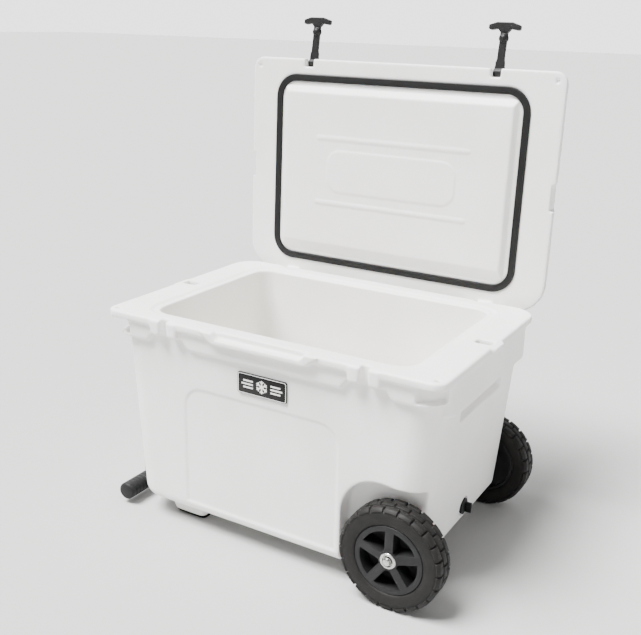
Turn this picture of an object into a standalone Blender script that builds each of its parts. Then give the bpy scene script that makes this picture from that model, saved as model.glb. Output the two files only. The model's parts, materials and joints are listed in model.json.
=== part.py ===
# Hard-sided cooler on two wheels, built as separate pieces with real joints.
#
# Frame: +X towards the wheels, -Y towards the front (latches), +Z up, metres.
# The design is drawn with its floor at z = 0 and its tub centred on x = y = 0.
# The last function moves the whole assembly so that its bounding box stands on
# the origin.  The lid stands open at rest and the pull handle hangs down.

import bpy
import bmesh
from math import asin, atan2, cos, pi, radians, sin
from mathutils import Matrix, Vector

# ---------------------------------------------------------------- sizes
GAP = 0.0003            # clearance between touching pieces
RUN = 0.0008            # running clearance of turning pieces
WELD = 0.00001          # points this close are one point

# rim and body
RIM_LENGTH = 0.710
RIM_DEPTH = 0.4774
RIM_TOP = 0.4365
RIM_SLAB = 0.015
RIM_FRONT_RADIUS = 0.024
RIM_BACK_RADIUS = 0.050
RIM_EDGE_BEVEL = 0.004
BODY_BOTTOM = 0.038
END_INSET = 0.012       # an end wall stands back from the rim edge, at the top
FRONT_INSET = 0.0195    # the same for the front and back walls
END_DRAFT = 0.031       # an end wall leans in by this much at the bottom
FRONT_DRAFT = 0.003
BODY_RADIUS = 0.055
BOTTOM_FILLET = 0.020
SKIRT_INSET = 0.009
SKIRT_RADIUS = 0.045
SKIRT_DROP = 0.0515     # skirt's lower edge below the rim top
END_SKIRT_DROP = 0.0795  # deeper part of the skirt on the end walls
END_SKIRT_SIDE = 0.0537  # end skirt in from the rim's long edges
END_SKIRT_WIDTH = RIM_DEPTH - 2 * END_SKIRT_SIDE
END_SKIRT_RADIUS = 0.012
WALL = 0.006            # moulded skin

# inside of the tub
END_RIM = 0.080         # rim from its end to the tub
LONG_RIM = 0.0487       # rim from its front or back edge to the tub
TUB_LENGTH = RIM_LENGTH - 2 * END_RIM
TUB_FRONT = RIM_DEPTH / 2 - LONG_RIM
TUB_BACK = RIM_DEPTH / 2 - LONG_RIM
TUB_RADIUS = 0.034
TUB_FLOOR = 0.112
TUB_DRAFT = 0.012
SHELF_LEDGE = 0.003     # narrow ledge round the deep part, level with the shelf
SEAT_WIDTH = 0.017      # ledge that the gasket closes on
SEAT_DROP = 0.003

# lid
LID_THICK = 0.038
LID_LIP = 0.014         # lower edge of the lid, left alone at the lock corners
LID_STEP = 0.004        # upper part stands back from the lower edge
LID_BACK_RADIUS = 0.062
PANEL_DROP = 0.011      # raised panel inside the lid reaches down into the tub
PANEL_GAP = 0.007       # its base stays this far inside the tub's edge
PANEL_SLOPE_X = 0.009
PANEL_SLOPE_FRONT = 0.0145
PANEL_SLOPE_BACK = 0.024
PANEL_RADIUS = 0.030
LID_WALL = 0.005
LID_OPEN = radians(91.2)
PARTING = 0.0006        # gap between the closed lid and the rim
LOCK_HOLE = 0.009
LOCK_IN_X = 0.018       # padlock hole in from the rim's end and front edge
LOCK_IN_Y = 0.0177
LOCK_X = RIM_LENGTH / 2 - LOCK_IN_X
LOCK_Y = RIM_DEPTH / 2 - LOCK_IN_Y
LOCK_STEP_X = 0.036
LOCK_STEP_Y = 0.044
GASKET_WIDTH = 0.0145
GASKET_HEIGHT = 0.0030
GASKET_GROOVE = 0.0020

# hinges
HINGE_BACK = 0.0015     # hinge line behind the rim's back edge
HINGE_DROP = 0.0180     # and below the rim top
HINGE_X = 0.235
ROD_DIAMETER = 0.0080
KNUCKLE_RADIUS = 0.0115
KNUCKLE = 0.030         # length of one knuckle
HINGE_ROD_OVER = 0.004

# latches
LATCH_X = 0.212
PIN_DIAMETER = 0.0050
PIN_BITE = 0.0040        # each pin end sits this deep in the lid
PIN_UP = 0.021          # pin above the lid's lower face
EYE_WIDTH = 0.0200
STRAP_WIDTH = 0.0132
STRAP_NECK = 0.0190     # the strap is down to its width this far from the pin
STRAP_THICK = 0.0090
BALL_REACH = 0.0655
BALL_RADIUS = 0.0100
BALL_CLEAR = 0.0010     # latched ball clears the front wall by this
TEE_REACH = 0.0890
TEE_WIDTH = 0.064
TEE_RADIUS = 0.0068
LATCH_LEAN = radians(8)  # an open latch leans back over the lid
LATCH_SLOT = 0.0215     # slot in the lid's edge
POST_WIDTH = 0.0245
POST_GAP = 0.0150
POST_OUT = 0.0018       # posts stand proud of the rim edge line
POST_RISE = 0.0025      # posts end this far under the rim top
POST_HEIGHT = 0.0290
LATCH_BAY = 0.082       # width of the break in the skirt round a latch

# wheels
WHEEL_IN = 0.077        # wheel axis in from the rim's end
WHEEL_X = RIM_LENGTH / 2 - WHEEL_IN
WHEEL_RADIUS = 0.0982
WHEEL_OUT = 0.0083      # tyre's outer face beyond the rim's long edge
WHEEL_FACE = RIM_DEPTH / 2 + WHEEL_OUT
TYRE_WIDTH = 0.0495
TYRE_DEPTH = 0.0330
AXLE_DIAMETER = 0.0127
AXLE_COLLAR_OUT = 0.0035  # collar on the axle: out from the well's wall, and its length
AXLE_COLLAR = 0.0025
HUB_RADIUS = 0.0170
SPOKES = 5
WHEEL_STEPS = 32        # facets round the rim and the tyre, which nest facet to facet
WELL_GAP = 0.0128       # room in front of, over and beside the tyre
WELL_HEAD = 0.0256
WELL_SIDE = 0.0115
WELL_START = WHEEL_X - WHEEL_RADIUS - WELL_GAP
WELL_TOP = 2 * WHEEL_RADIUS + WELL_HEAD
WELL_RADIUS = 0.075
WELL_INNER = WHEEL_FACE - TYRE_WIDTH - WELL_SIDE
SHELF_SET = 0.009       # tub is shallower from a little before the wells, and over them
SHELF_RISE = 0.040
SHELF_START = WELL_START - SHELF_SET
SHELF_HEIGHT = WELL_TOP + SHELF_RISE
END_BOTTOM = 0.073      # underside of the body between the wheels
SOCKET_DEPTH = 0.060
SOCKET_RADIUS = 0.0115

# handle
PIVOT_Z = 0.330
PIVOT_IN = 0.005        # handle pivot in from the rim's end
PIVOT_X = PIVOT_IN - RIM_LENGTH / 2
ARM_Y = 0.135
ARM_THICK = 0.0140
ARM_WIDTH = 0.0160
GRIP_Z = 0.028
GRIP_BACK = 0.004       # grip in from the pivot
GRIP_X = PIVOT_X + GRIP_BACK
GRIP_RADIUS = 0.0180
GRIP_LENGTH = 0.426
CORE_RADIUS = 0.0120
CORE_WALL = 0.0020
PIVOT_BOLT = 0.0080
BUSH_WALL = 0.0020
BRACKET_WIDTH = 0.0340
BRACKET_HEIGHT = 0.0360
BRACKET_CHEEK = 0.0050

# openings in the rim and the walls
SLOT_IN = 0.024         # tie-down slot in from the rim's end
SLOT_X = RIM_LENGTH / 2 - SLOT_IN
SLOT_LENGTH = 0.030
SLOT_WIDTH = 0.022
TAB_WIDTH = 0.056
TAB_OUT = 0.007
HAND_WIDTH = 0.200
HAND_HEIGHT = 0.055
HAND_DEPTH = 0.024

# drain
DRAIN_Z = 0.100
DRAIN_RADIUS = 0.0090
DRAIN_WALL = 0.0025
DRAIN_FLANGE = 0.0160
DRAIN_GASKET = 0.0025
DRAIN_RECESS = 0.0045   # depth of the round recess in the end wall
DRAIN_GRIP = 0.0100     # half height of the plug's finger wing
DRAIN_STEM = 0.020
SUMP_LENGTH = 0.080
SUMP_WIDTH = 0.044

# feet, badge and ports
FOOT_END = 0.150        # foot in from the rim's end
FOOT_X = FOOT_END - RIM_LENGTH / 2
FOOT_SIDE = 0.0787      # foot in from the rim's long edge
FOOT_Y = RIM_DEPTH / 2 - FOOT_SIDE
FOOT_LENGTH = 0.076
FOOT_WIDTH = 0.036
BADGE_WIDTH = 0.106
BADGE_HEIGHT = 0.041
BADGE_Z = 0.3465
BADGE_THICK = 0.0030
PORT_RADIUS = 0.0140
LID_PORT = 0.0080
LID_PORT_DEPTH = 0.0145
SHIELD_TOP = 0.125      # half width of the plate round the finger scoop
SHIELD_FOOT = 0.0957
SHIELD_DROP = 0.0220
SHIELD_OUT = 0.0040
SCOOP_TOP = 0.115
SCOOP_FOOT = 0.090
SCOOP_DROP = 0.0120
SCOOP_DEEP = 0.0057


# ---------------------------------------------------------------- tools
def clear_scene():
    for obj in list(bpy.data.objects):
        bpy.data.objects.remove(obj, do_unlink=True)


def finish(name, bm):
    """Turn a bmesh into a scene object with outward faces."""
    bmesh.ops.remove_doubles(bm, verts=bm.verts, dist=1e-6)
    bmesh.ops.recalc_face_normals(bm, faces=bm.faces)
    mesh = bpy.data.meshes.new(name)
    bm.to_mesh(mesh)
    bm.free()
    obj = bpy.data.objects.new(name, mesh)
    bpy.context.scene.collection.objects.link(obj)
    return obj


def box(name, x, y, z, bevel=0.0):
    """Box from three (low, high) pairs."""
    bm = bmesh.new()
    bmesh.ops.create_cube(bm, size=1.0)
    size = Vector((x[1] - x[0], y[1] - y[0], z[1] - z[0]))
    middle = Vector((x[0] + x[1], y[0] + y[1], z[0] + z[1])) / 2
    bmesh.ops.scale(bm, vec=size, verts=bm.verts)
    bmesh.ops.translate(bm, vec=middle, verts=bm.verts)
    if bevel:
        bmesh.ops.bevel(bm, geom=bm.edges[:], offset=bevel, affect='EDGES', segments=2,
                        profile=0.5, material=-1)
    return finish(name, bm)


def arc(cx, cy, radius, start, end, steps):
    return [(cx + radius * cos(start + (end - start) * i / steps),
             cy + radius * sin(start + (end - start) * i / steps)) for i in range(steps + 1)]


def rounded_rect(half_x, front, back, front_radius, back_radius, steps=4):
    """Plan outline, anticlockwise, y from -front to +back."""
    points = arc(half_x - front_radius, -front + front_radius, front_radius, -pi / 2, 0, steps)
    points += arc(half_x - back_radius, back - back_radius, back_radius, 0, pi / 2, steps)
    points += arc(-half_x + back_radius, back - back_radius, back_radius, pi / 2, pi, steps)
    points += arc(-half_x + front_radius, -front + front_radius, front_radius, pi, 1.5 * pi, steps)
    return points


def loft(name, sections):
    """Solid through (z, outline) sections with the same number of points."""
    bm = bmesh.new()
    rings = [[bm.verts.new((x, y, z)) for x, y in outline] for z, outline in sections]
    for low, high in zip(rings, rings[1:]):
        for i in range(len(low)):
            bm.faces.new((low[i - 1], low[i], high[i], high[i - 1]))
    bm.faces.new(rings[0])
    bm.faces.new(rings[-1])
    return finish(name, bm)


def prism(name, outline, low, high, axis):
    """Extrude a closed outline of (a, b) points along one axis.

    axis 'Y' takes (x, z) points, 'X' takes (y, z) points and 'Z' takes (x, y) points.
    """
    place = {'X': lambda a, b, c: (c, a, b), 'Y': lambda a, b, c: (a, c, b),
             'Z': lambda a, b, c: (a, b, c)}[axis]
    bm = bmesh.new()
    verts = [bm.verts.new(place(a, b, low)) for a, b in outline]
    face = bm.faces.new(verts)
    out = bmesh.ops.extrude_face_region(bm, geom=[face])
    moved = [v for v in out['geom'] if isinstance(v, bmesh.types.BMVert)]
    bmesh.ops.translate(bm, vec=Vector(place(0, 0, high - low)), verts=moved)
    return finish(name, bm)


def turn(name, profile, centre, axis, steps=16):
    """Turn a closed (radius, along) profile about an axis through centre."""
    bm = bmesh.new()
    verts = [bm.verts.new((r, 0, h)) for r, h in profile]
    edges = [bm.edges.new((verts[i - 1], verts[i])) for i in range(len(verts))]
    bmesh.ops.spin(bm, geom=verts + edges, cent=(0, 0, 0), axis=(0, 0, 1), angle=2 * pi,
                   steps=steps, use_merge=True)
    bmesh.ops.remove_doubles(bm, verts=bm.verts, dist=1e-6)
    bmesh.ops.delete(bm, geom=[e for e in bm.edges if e.is_wire], context='EDGES')
    turned = Vector((0, 0, 1)).rotation_difference(Vector(axis)).to_matrix().to_4x4()
    bmesh.ops.transform(bm, matrix=Matrix.Translation(centre) @ turned, verts=bm.verts)
    return finish(name, bm)


def rod(name, radius, start, end, steps=14, bevel=0.0):
    """Solid cylinder between two points, with its end edges broken."""
    start, end = Vector(start), Vector(end)
    length = (end - start).length
    profile = [(0, 0), (radius - bevel, 0), (radius, bevel), (radius, length - bevel),
               (radius - bevel, length), (0, length)]
    if not bevel:
        profile = [(0, 0), (radius, 0), (radius, length), (0, length)]
    return turn(name, profile, start, (end - start).normalized(), steps)


def tube(name, outer, inner, start, end, steps=16):
    start, end = Vector(start), Vector(end)
    length = (end - start).length
    profile = [(inner, 0), (outer, 0), (outer, length), (inner, length)]
    return turn(name, profile, start, (end - start).normalized(), steps)


def combine(target, others, operation='DIFFERENCE'):
    """Boolean the others into the target and drop them."""
    for other in others:
        other.hide_render = True
        other.display_type = 'WIRE'
        mod = target.modifiers.new(other.name, 'BOOLEAN')
        mod.operation = operation
        mod.solver = 'EXACT'
        mod.object = other
        bpy.context.view_layer.update()
        evaluated = target.evaluated_get(bpy.context.evaluated_depsgraph_get())
        mesh = bpy.data.meshes.new_from_object(evaluated)
        bm = bmesh.new()
        bm.from_mesh(mesh)
        bmesh.ops.remove_doubles(bm, verts=bm.verts, dist=WELD)
        bm.to_mesh(mesh)
        bm.free()
        target.modifiers.clear()
        target.data = mesh
        bpy.data.objects.remove(other, do_unlink=True)
    return target


def add(target, *others):
    return combine(target, others, 'UNION')


def cut(target, *others):
    return combine(target, others, 'DIFFERENCE')


MATERIALS = {
    'white_polyethylene': ((0.86, 0.86, 0.84), 0.42, 0.0),
    'foam': ((0.80, 0.66, 0.33), 0.95, 0.0),
    'black_rubber': ((0.018, 0.018, 0.018), 0.62, 0.0),
    'tyre_rubber': ((0.022, 0.020, 0.018), 0.75, 0.0),
    'charcoal_nylon': ((0.030, 0.030, 0.032), 0.45, 0.0),
    'steel': ((0.62, 0.62, 0.60), 0.28, 1.0),
    'aluminium': ((0.70, 0.71, 0.72), 0.35, 1.0),
    'badge_plate': ((0.012, 0.012, 0.013), 0.35, 0.0),
}


def dress(obj, kind):
    """Give a piece its own material of one kind and smooth its round faces."""
    colour, rough, metal = MATERIALS[kind]
    mat = bpy.data.materials.new(obj.name + '_' + kind)
    mat.use_nodes = True
    shader = mat.node_tree.nodes['Principled BSDF']
    shader.inputs['Base Color'].default_value = (*colour, 1)
    shader.inputs['Roughness'].default_value = rough
    shader.inputs['Metallic'].default_value = metal
    obj.data.materials.clear()
    obj.data.materials.append(mat)
    obj.data.name = obj.name
    obj.data.shade_smooth()
    obj.data.set_sharp_from_angle(angle=radians(35))
    return obj


def axis_empty(name, location, parent=None):
    """Empty on a joint's line; pieces that move with it are its children."""
    empty = bpy.data.objects.new(name, None)
    empty.location = location
    bpy.context.scene.collection.objects.link(empty)
    if parent:
        empty.parent = parent
        empty.location = Vector(location) - world_place(parent)
    return empty


def world_place(empty):
    place = Vector(empty.location)
    while empty.parent:
        empty = empty.parent
        place += Vector(empty.location)
    return place


def hang(obj, empty):
    """Parent a piece drawn in assembly coordinates to an unturned empty."""
    obj.data.transform(Matrix.Translation(-world_place(empty)))
    obj.parent = empty
    return obj


# ---------------------------------------------------------------- derived places
HALF_L = RIM_LENGTH / 2
HALF_D = RIM_DEPTH / 2
HINGE_Y = HALF_D + HINGE_BACK
HINGE_Z = RIM_TOP - HINGE_DROP
LID_UNDER = RIM_TOP + PARTING
LID_TOP = LID_UNDER + LID_THICK
PIN_Z = LID_UNDER + PIN_UP
POST_TOP = RIM_TOP - POST_RISE
POST_BOTTOM = POST_TOP - POST_HEIGHT
PIN_LENGTH = LATCH_SLOT + 2 * PIN_BITE
SEAT_LENGTH = TUB_LENGTH / 2 + SEAT_WIDTH
BUSH_OUTER = AXLE_DIAMETER / 2 + RUN + BUSH_WALL


def wall_at(height):
    """Half length and half depth of the outer wall at a height."""
    share = (height - BODY_BOTTOM) / (RIM_TOP - RIM_SLAB - BODY_BOTTOM)
    half_x = HALF_L - END_INSET - END_DRAFT * (1 - share)
    half_y = HALF_D - FRONT_INSET - FRONT_DRAFT * (1 - share)
    return half_x, half_y


PIN_Y = -wall_at(POST_BOTTOM)[1] - BALL_RADIUS - BALL_CLEAR


# ---------------------------------------------------------------- body
def body_form(name, inset=0.0, top=None):
    """Drafted box with rounded upright corners and a rounded bottom edge."""
    top = RIM_TOP - RIM_SLAB / 2 if top is None else top
    sections = []
    steps = 3
    for i in range(steps + 1):
        angle = pi / 2 * i / steps
        low = BODY_BOTTOM + inset
        z = low + BOTTOM_FILLET * (1 - cos(angle))
        back = BOTTOM_FILLET * (1 - sin(angle)) + inset
        half_x, half_y = wall_at(z)
        outline = rounded_rect(half_x - back, half_y - back, half_y - back,
                               BODY_RADIUS - back, BODY_RADIUS - back)
        sections.append((z, outline))
    half_x, half_y = wall_at(top)
    outline = rounded_rect(half_x - inset, half_y - inset, half_y - inset,
                           BODY_RADIUS - inset, BODY_RADIUS - inset)
    sections.append((top, outline))
    return loft(name, sections)


def tub_form(name, grow=0.0):
    """The inside of the tub: a deep well and a shelf over the wheels."""
    half = TUB_LENGTH / 2 + grow
    over = RIM_TOP + 0.02

    def outline(end, z, inset):
        lean = TUB_DRAFT * (RIM_TOP - z) / (RIM_TOP - TUB_FLOOR) + inset
        points = rounded_rect((end + half) / 2 - lean, TUB_FRONT + grow - lean,
                              TUB_BACK + grow - lean, TUB_RADIUS + grow, TUB_RADIUS + grow)
        return [(x + (end - half) / 2, y) for x, y in points]

    floor, shelf = TUB_FLOOR - grow, SHELF_HEIGHT - grow
    deep = SHELF_START + grow
    return loft(name, [(floor, outline(deep, floor, SHELF_LEDGE)),
                       (shelf, outline(deep, shelf, SHELF_LEDGE)),
                       (shelf, outline(half, shelf, 0.0)), (over, outline(half, over, 0.0))])


def well_form(name, side, grow=0.0):
    """Wheel space, open to the side, the end and the floor."""
    start = WELL_START - grow
    top = WELL_TOP + grow
    radius = WELL_RADIUS
    far = HALF_L + 0.05
    outline = [(far, -0.05), (far, top)]
    outline += arc(start + radius, top - radius, radius, pi / 2, pi, 6)
    outline += [(start, -0.05)]
    low, high = sorted((side * (WELL_INNER - grow), side * (HALF_D + 0.05)))
    return prism(name, outline, low, high, 'Y')


def under_form(name, grow=0.0):
    """Raised underside between the wheels."""
    start = WELL_START + 0.012 - grow
    top = END_BOTTOM + grow
    outline = [(HALF_L + 0.05, -0.05), (HALF_L + 0.05, top), (start + 0.03, top), (start, -0.05)]
    return prism(name, outline, -HALF_D - 0.05, HALF_D + 0.05, 'Y')


def hand_form(name, end, grow=0.0):
    """Hand hold under the end skirt: flat roof, slanted floor."""
    roof = RIM_TOP - END_SKIRT_DROP
    outer = HALF_L + 0.05
    inner = wall_at(roof)[0] - HAND_DEPTH - grow
    mouth = wall_at(roof)[0] + 0.012
    outline = [(end * outer, roof + grow), (end * inner, roof + grow),
               (end * inner, roof - HAND_HEIGHT * 0.45 - grow),
               (end * mouth, roof - HAND_HEIGHT - 2 * grow), (end * outer, roof - HAND_HEIGHT - 2 * grow)]
    width = HAND_WIDTH / 2 + grow
    return prism(name, outline, -width, width, 'Y')


def anchor_form(name, end, grow=0.0):
    """Upright slot through the rim into the hand hold."""
    roof = RIM_TOP - END_SKIRT_DROP
    half = SLOT_LENGTH / 2 + grow
    width = SLOT_WIDTH / 2 + grow
    return box(name, (end * SLOT_X - half, end * SLOT_X + half), (-width, width),
               (roof - 0.01, RIM_TOP + 0.05))


def latch_bay(side):
    """Break in the skirt where a latched ball and cross bar hang."""
    half = LATCH_BAY / 2
    return box('bay%d' % side, (side * LATCH_X - half, side * LATCH_X + half),
               (-HALF_D - 0.02, -wall_at(RIM_TOP)[1] + 0.001),
               (RIM_TOP - SKIRT_DROP - 0.01, RIM_TOP - RIM_SLAB))


def arm_channel(name, side, grow=0.0):
    """Flat-backed seat of a handle bracket in the -X end wall."""
    half = BRACKET_WIDTH / 2 + GAP + grow
    inner = -bracket_back() + GAP + grow
    top = RIM_TOP - END_SKIRT_DROP + grow
    return box(name, (-HALF_L - 0.05, inner), (side * ARM_Y - half, side * ARM_Y + half),
               (PIVOT_Z - BRACKET_HEIGHT / 2 - GAP - grow, top))


def sump_form(name, grow=0.0):
    """Dip in the tub floor that leads to the drain."""
    end = sump_end() + grow
    start = sump_end() - SUMP_LENGTH - grow
    top = TUB_FLOOR + 0.015
    low = DRAIN_Z - DRAIN_RADIUS - 0.001 - grow
    outline = [(start, top), (start, TUB_FLOOR - 0.0005 - grow), (end, low), (end, top)]
    half = SUMP_WIDTH / 2 + grow
    return prism(name, outline, -half, half, 'Y')


def drain_recess(name, grow=0.0):
    """Round flat-bottomed recess round the drain plug."""
    return rod(name, DRAIN_FLANGE + 0.004 + grow, (drain_seat() - grow, 0, DRAIN_Z),
               (HALF_L + 0.03, 0, DRAIN_Z), 16)


def sump_end():
    """Tub's end wall at the drain."""
    return SHELF_START - TUB_DRAFT - SHELF_LEDGE


def drain_seat():
    """Flat face that the drain gasket closes on."""
    return wall_at(DRAIN_Z)[0] - DRAIN_RECESS


def bracket_back():
    """Distance of a bracket's flat back from the middle."""
    return wall_at(PIVOT_Z)[0] - 0.006


def body_hollows(tag, grow):
    """Every space that the foam and the skin keep clear of."""
    forms = [tub_form('tub' + tag, grow), sump_form('sump' + tag, grow),
             under_form('under' + tag, grow), drain_recess('recess' + tag, grow)]
    for side in (-1, 1):
        forms.append(well_form('well%d%s' % (side, tag), side, grow))
        forms.append(arm_channel('seat%d%s' % (side, tag), side, grow))
        forms.append(hand_form('hand%d%s' % (side, tag), side, grow))
        forms.append(anchor_form('slot%d%s' % (side, tag), side, grow))
    return forms


def foam_form(name, wall):
    top = RIM_TOP - 0.010 - (wall - WALL)
    return cut(body_form(name, wall, top), *body_hollows('_' + name, wall))


def socket_bore(name, side, radius, extra=0.0):
    """Bore for the axle socket, from the wheel space inwards."""
    return rod(name, radius, (WHEEL_X, side * (WELL_INNER + 0.01), WHEEL_RADIUS),
               (WHEEL_X, side * (WELL_INNER - SOCKET_DEPTH - extra), WHEEL_RADIUS), 16)


def drain_bore(name, radius):
    return rod(name, radius, (sump_end() - 0.01, 0, DRAIN_Z), (HALF_L + 0.02, 0, DRAIN_Z), 16)


def rim_solids():
    """Rim slab, skirt, finger plate and anchor tabs."""
    outline = rounded_rect(HALF_L, HALF_D, HALF_D, RIM_FRONT_RADIUS, RIM_BACK_RADIUS)
    inner = rounded_rect(HALF_L - RIM_EDGE_BEVEL, HALF_D - RIM_EDGE_BEVEL, HALF_D - RIM_EDGE_BEVEL,
                         RIM_FRONT_RADIUS - RIM_EDGE_BEVEL, RIM_BACK_RADIUS - RIM_EDGE_BEVEL)
    low = RIM_TOP - RIM_SLAB
    solids = [loft('rim', [(low, inner), (low + RIM_EDGE_BEVEL / 2, outline),
                           (RIM_TOP - RIM_EDGE_BEVEL, outline), (RIM_TOP, inner)])]
    half_x, half_y = HALF_L - SKIRT_INSET, HALF_D - SKIRT_INSET
    band = rounded_rect(half_x, half_y, half_y, SKIRT_RADIUS, SKIRT_RADIUS)
    skirt = loft('skirt', [(RIM_TOP - SKIRT_DROP, band), (low + 0.002, band)])
    solids.append(cut(skirt, latch_bay(-1), latch_bay(1)))
    foot, wide, r = RIM_TOP - END_SKIRT_DROP, END_SKIRT_WIDTH / 2, END_SKIRT_RADIUS
    drop = [(wide, low), (-wide, low)] + arc(-wide + r, foot + r, r, pi, 1.5 * pi, 3)
    drop += arc(wide - r, foot + r, r, 1.5 * pi, 2 * pi, 3)
    solids.append(prism('end_skirt', drop, -half_x, half_x, 'X'))
    shield = [(-SHIELD_TOP, RIM_TOP - 0.001), (-SHIELD_FOOT - SHIELD_DROP / 2, foot_of_shield() + 0.006),
              (-SHIELD_FOOT, foot_of_shield()), (SHIELD_FOOT, foot_of_shield()),
              (SHIELD_FOOT + SHIELD_DROP / 2, foot_of_shield() + 0.006), (SHIELD_TOP, RIM_TOP - 0.001)]
    solids.append(prism('shield', shield, -HALF_D - SHIELD_OUT, -half_y + 0.001, 'Y'))
    for end in (-1, 1):
        outer = end * (HALF_L + TAB_OUT)
        edge = end * (HALF_L - 0.03)
        tab = [(edge, -TAB_WIDTH / 2 - 0.012), (outer, -TAB_WIDTH / 2 + 0.004),
               (outer, TAB_WIDTH / 2 - 0.004), (edge, TAB_WIDTH / 2 + 0.012)]
        solids.append(prism('tab%d' % end, tab, low + 0.001, RIM_TOP - 0.002, 'Z'))
    return solids


def foot_of_shield():
    return RIM_TOP - SHIELD_DROP


def scoop_form(name):
    """Finger scoop behind the plate, under the lid's front edge."""
    low, high = RIM_TOP - SCOOP_DROP, RIM_TOP + 0.01
    outline = [(-SCOOP_FOOT, low), (SCOOP_FOOT, low), (SCOOP_TOP, high), (-SCOOP_TOP, high)]
    return prism(name, outline, -HALF_D - 0.02, -HALF_D + SCOOP_DEEP, 'Y')


def post_solids():
    """Two keeper posts at each latch; the strap goes between them."""
    solids = []
    for side in (-1, 1):
        for way in (-1, 1):
            centre = side * LATCH_X + way * (POST_GAP + POST_WIDTH) / 2
            solids.append(box('post%d%d' % (side, way), (centre - POST_WIDTH / 2, centre + POST_WIDTH / 2),
                              (-HALF_D - POST_OUT, -wall_at(POST_BOTTOM)[1] + WALL - GAP),
                              (POST_BOTTOM, POST_TOP), 0.003))
    return solids


def knuckle_ranges():
    """(low, high, owner) along X of each hinge knuckle on both sides."""
    ranges = []
    for side in (-1, 1):
        for place, owner in ((-1, 'body'), (0, 'lid'), (1, 'body')):
            centre = side * HINGE_X + place * (KNUCKLE + RUN)
            ranges.append((centre - KNUCKLE / 2, centre + KNUCKLE / 2, owner))
    return ranges


def knuckle_solid(name, low, high, owner):
    """Eye round the hinge line with a web to the rim or to the lid."""
    points = arc(HINGE_Y, HINGE_Z, KNUCKLE_RADIUS, -pi / 2, pi / 2, 6)
    if owner == 'body':
        foot = HALF_D - 0.022
        outline = points + [(foot, HINGE_Z + KNUCKLE_RADIUS), (foot, HINGE_Z - KNUCKLE_RADIUS - 0.022)]
    else:
        points = arc(HINGE_Y, HINGE_Z, KNUCKLE_RADIUS, -pi, 0, 8)
        outline = points + [(HINGE_Y + KNUCKLE_RADIUS, LID_UNDER + 0.012),
                            (HINGE_Y - KNUCKLE_RADIUS, LID_UNDER + 0.012)]
    return prism(name, outline, low, high, 'X')


def make_body_shell():
    shell = body_form('body_shell')
    solids = rim_solids()
    knuckles = [knuckle_solid('k%d' % i, low, high, owner)
                for i, (low, high, owner) in enumerate(knuckle_ranges()) if owner == 'body']
    add(shell, *solids, *knuckles)
    seat = rounded_rect(SEAT_LENGTH, TUB_FRONT + SEAT_WIDTH, TUB_BACK + SEAT_WIDTH,
                        TUB_RADIUS + SEAT_WIDTH, TUB_RADIUS + SEAT_WIDTH)
    cut(shell, *body_hollows('', 0.0), foam_form('cavity', WALL), scoop_form('scoop'),
        loft('seat_cut', [(RIM_TOP - SEAT_DROP, seat), (RIM_TOP + 0.02, seat)]))
    add(shell, *post_solids())
    cuts = []
    for side in (-1, 1):
        half = POST_GAP / 2
        cuts.append(box('slot', (side * LATCH_X - half, side * LATCH_X + half),
                        (-HALF_D - 0.02, PIN_Y + STRAP_THICK / 2 + 0.001),
                        (POST_BOTTOM - 0.001, RIM_TOP + 0.01)))
        cuts.append(rod('lock', LOCK_HOLE / 2, (side * LOCK_X, -LOCK_Y, RIM_TOP - 0.05),
                        (side * LOCK_X, -LOCK_Y, RIM_TOP + 0.01), 12))
        cuts.append(socket_bore('bore', side, SOCKET_RADIUS + GAP, GAP))
        cuts.append(rod('rodhole', ROD_DIAMETER / 2 + GAP,
                        (side * HINGE_X - 0.08, HINGE_Y, HINGE_Z),
                        (side * HINGE_X + 0.08, HINGE_Y, HINGE_Z), 12))
    for low, high, owner in knuckle_ranges():
        if owner == 'lid':
            cuts.append(box('lidknuckle', (low - RUN, high + RUN),
                            (HINGE_Y - KNUCKLE_RADIUS - RUN, HINGE_Y + 0.05),
                            (HINGE_Z - KNUCKLE_RADIUS - RUN, RIM_TOP + 0.02)))
    cuts.append(drain_bore('drain', DRAIN_RADIUS + DRAIN_WALL + GAP))
    cuts.append(rod('fill', PORT_RADIUS + GAP, (0, 0, BODY_BOTTOM - 0.01),
                    (0, 0, BODY_BOTTOM + WALL + 0.01), 16))
    cut(shell, *cuts, *bracket_screws('hole', GAP, True), *foot_screws('fhole', GAP, True))
    return dress(shell, 'white_polyethylene')


def make_body_foam():
    foam = foam_form('body_foam', WALL + GAP)
    cuts = [drain_bore('drain', DRAIN_RADIUS + DRAIN_WALL + GAP)]
    for side in (-1, 1):
        cuts.append(socket_bore('bore', side, SOCKET_RADIUS + GAP, GAP))
    cuts.append(rod('fill', PORT_RADIUS + GAP, (0, 0, BODY_BOTTOM - 0.01),
                    (0, 0, BODY_BOTTOM + WALL + 0.0115), 16))
    cut(foam, *cuts, *bracket_screws('hole', GAP, True), *foot_screws('fhole', GAP, True))
    return dress(foam, 'foam')


def make_body_foam_plug():
    low = BODY_BOTTOM - 0.002
    plug = turn('body_foam_plug', [(0, 0), (PORT_RADIUS + 0.004, 0), (PORT_RADIUS + 0.004, 0.0017),
                                   (PORT_RADIUS, 0.0017), (PORT_RADIUS, 0.0107), (0, 0.0107)],
                (0, 0, low), (0, 0, 1), 16)
    return dress(plug, 'white_polyethylene')


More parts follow.
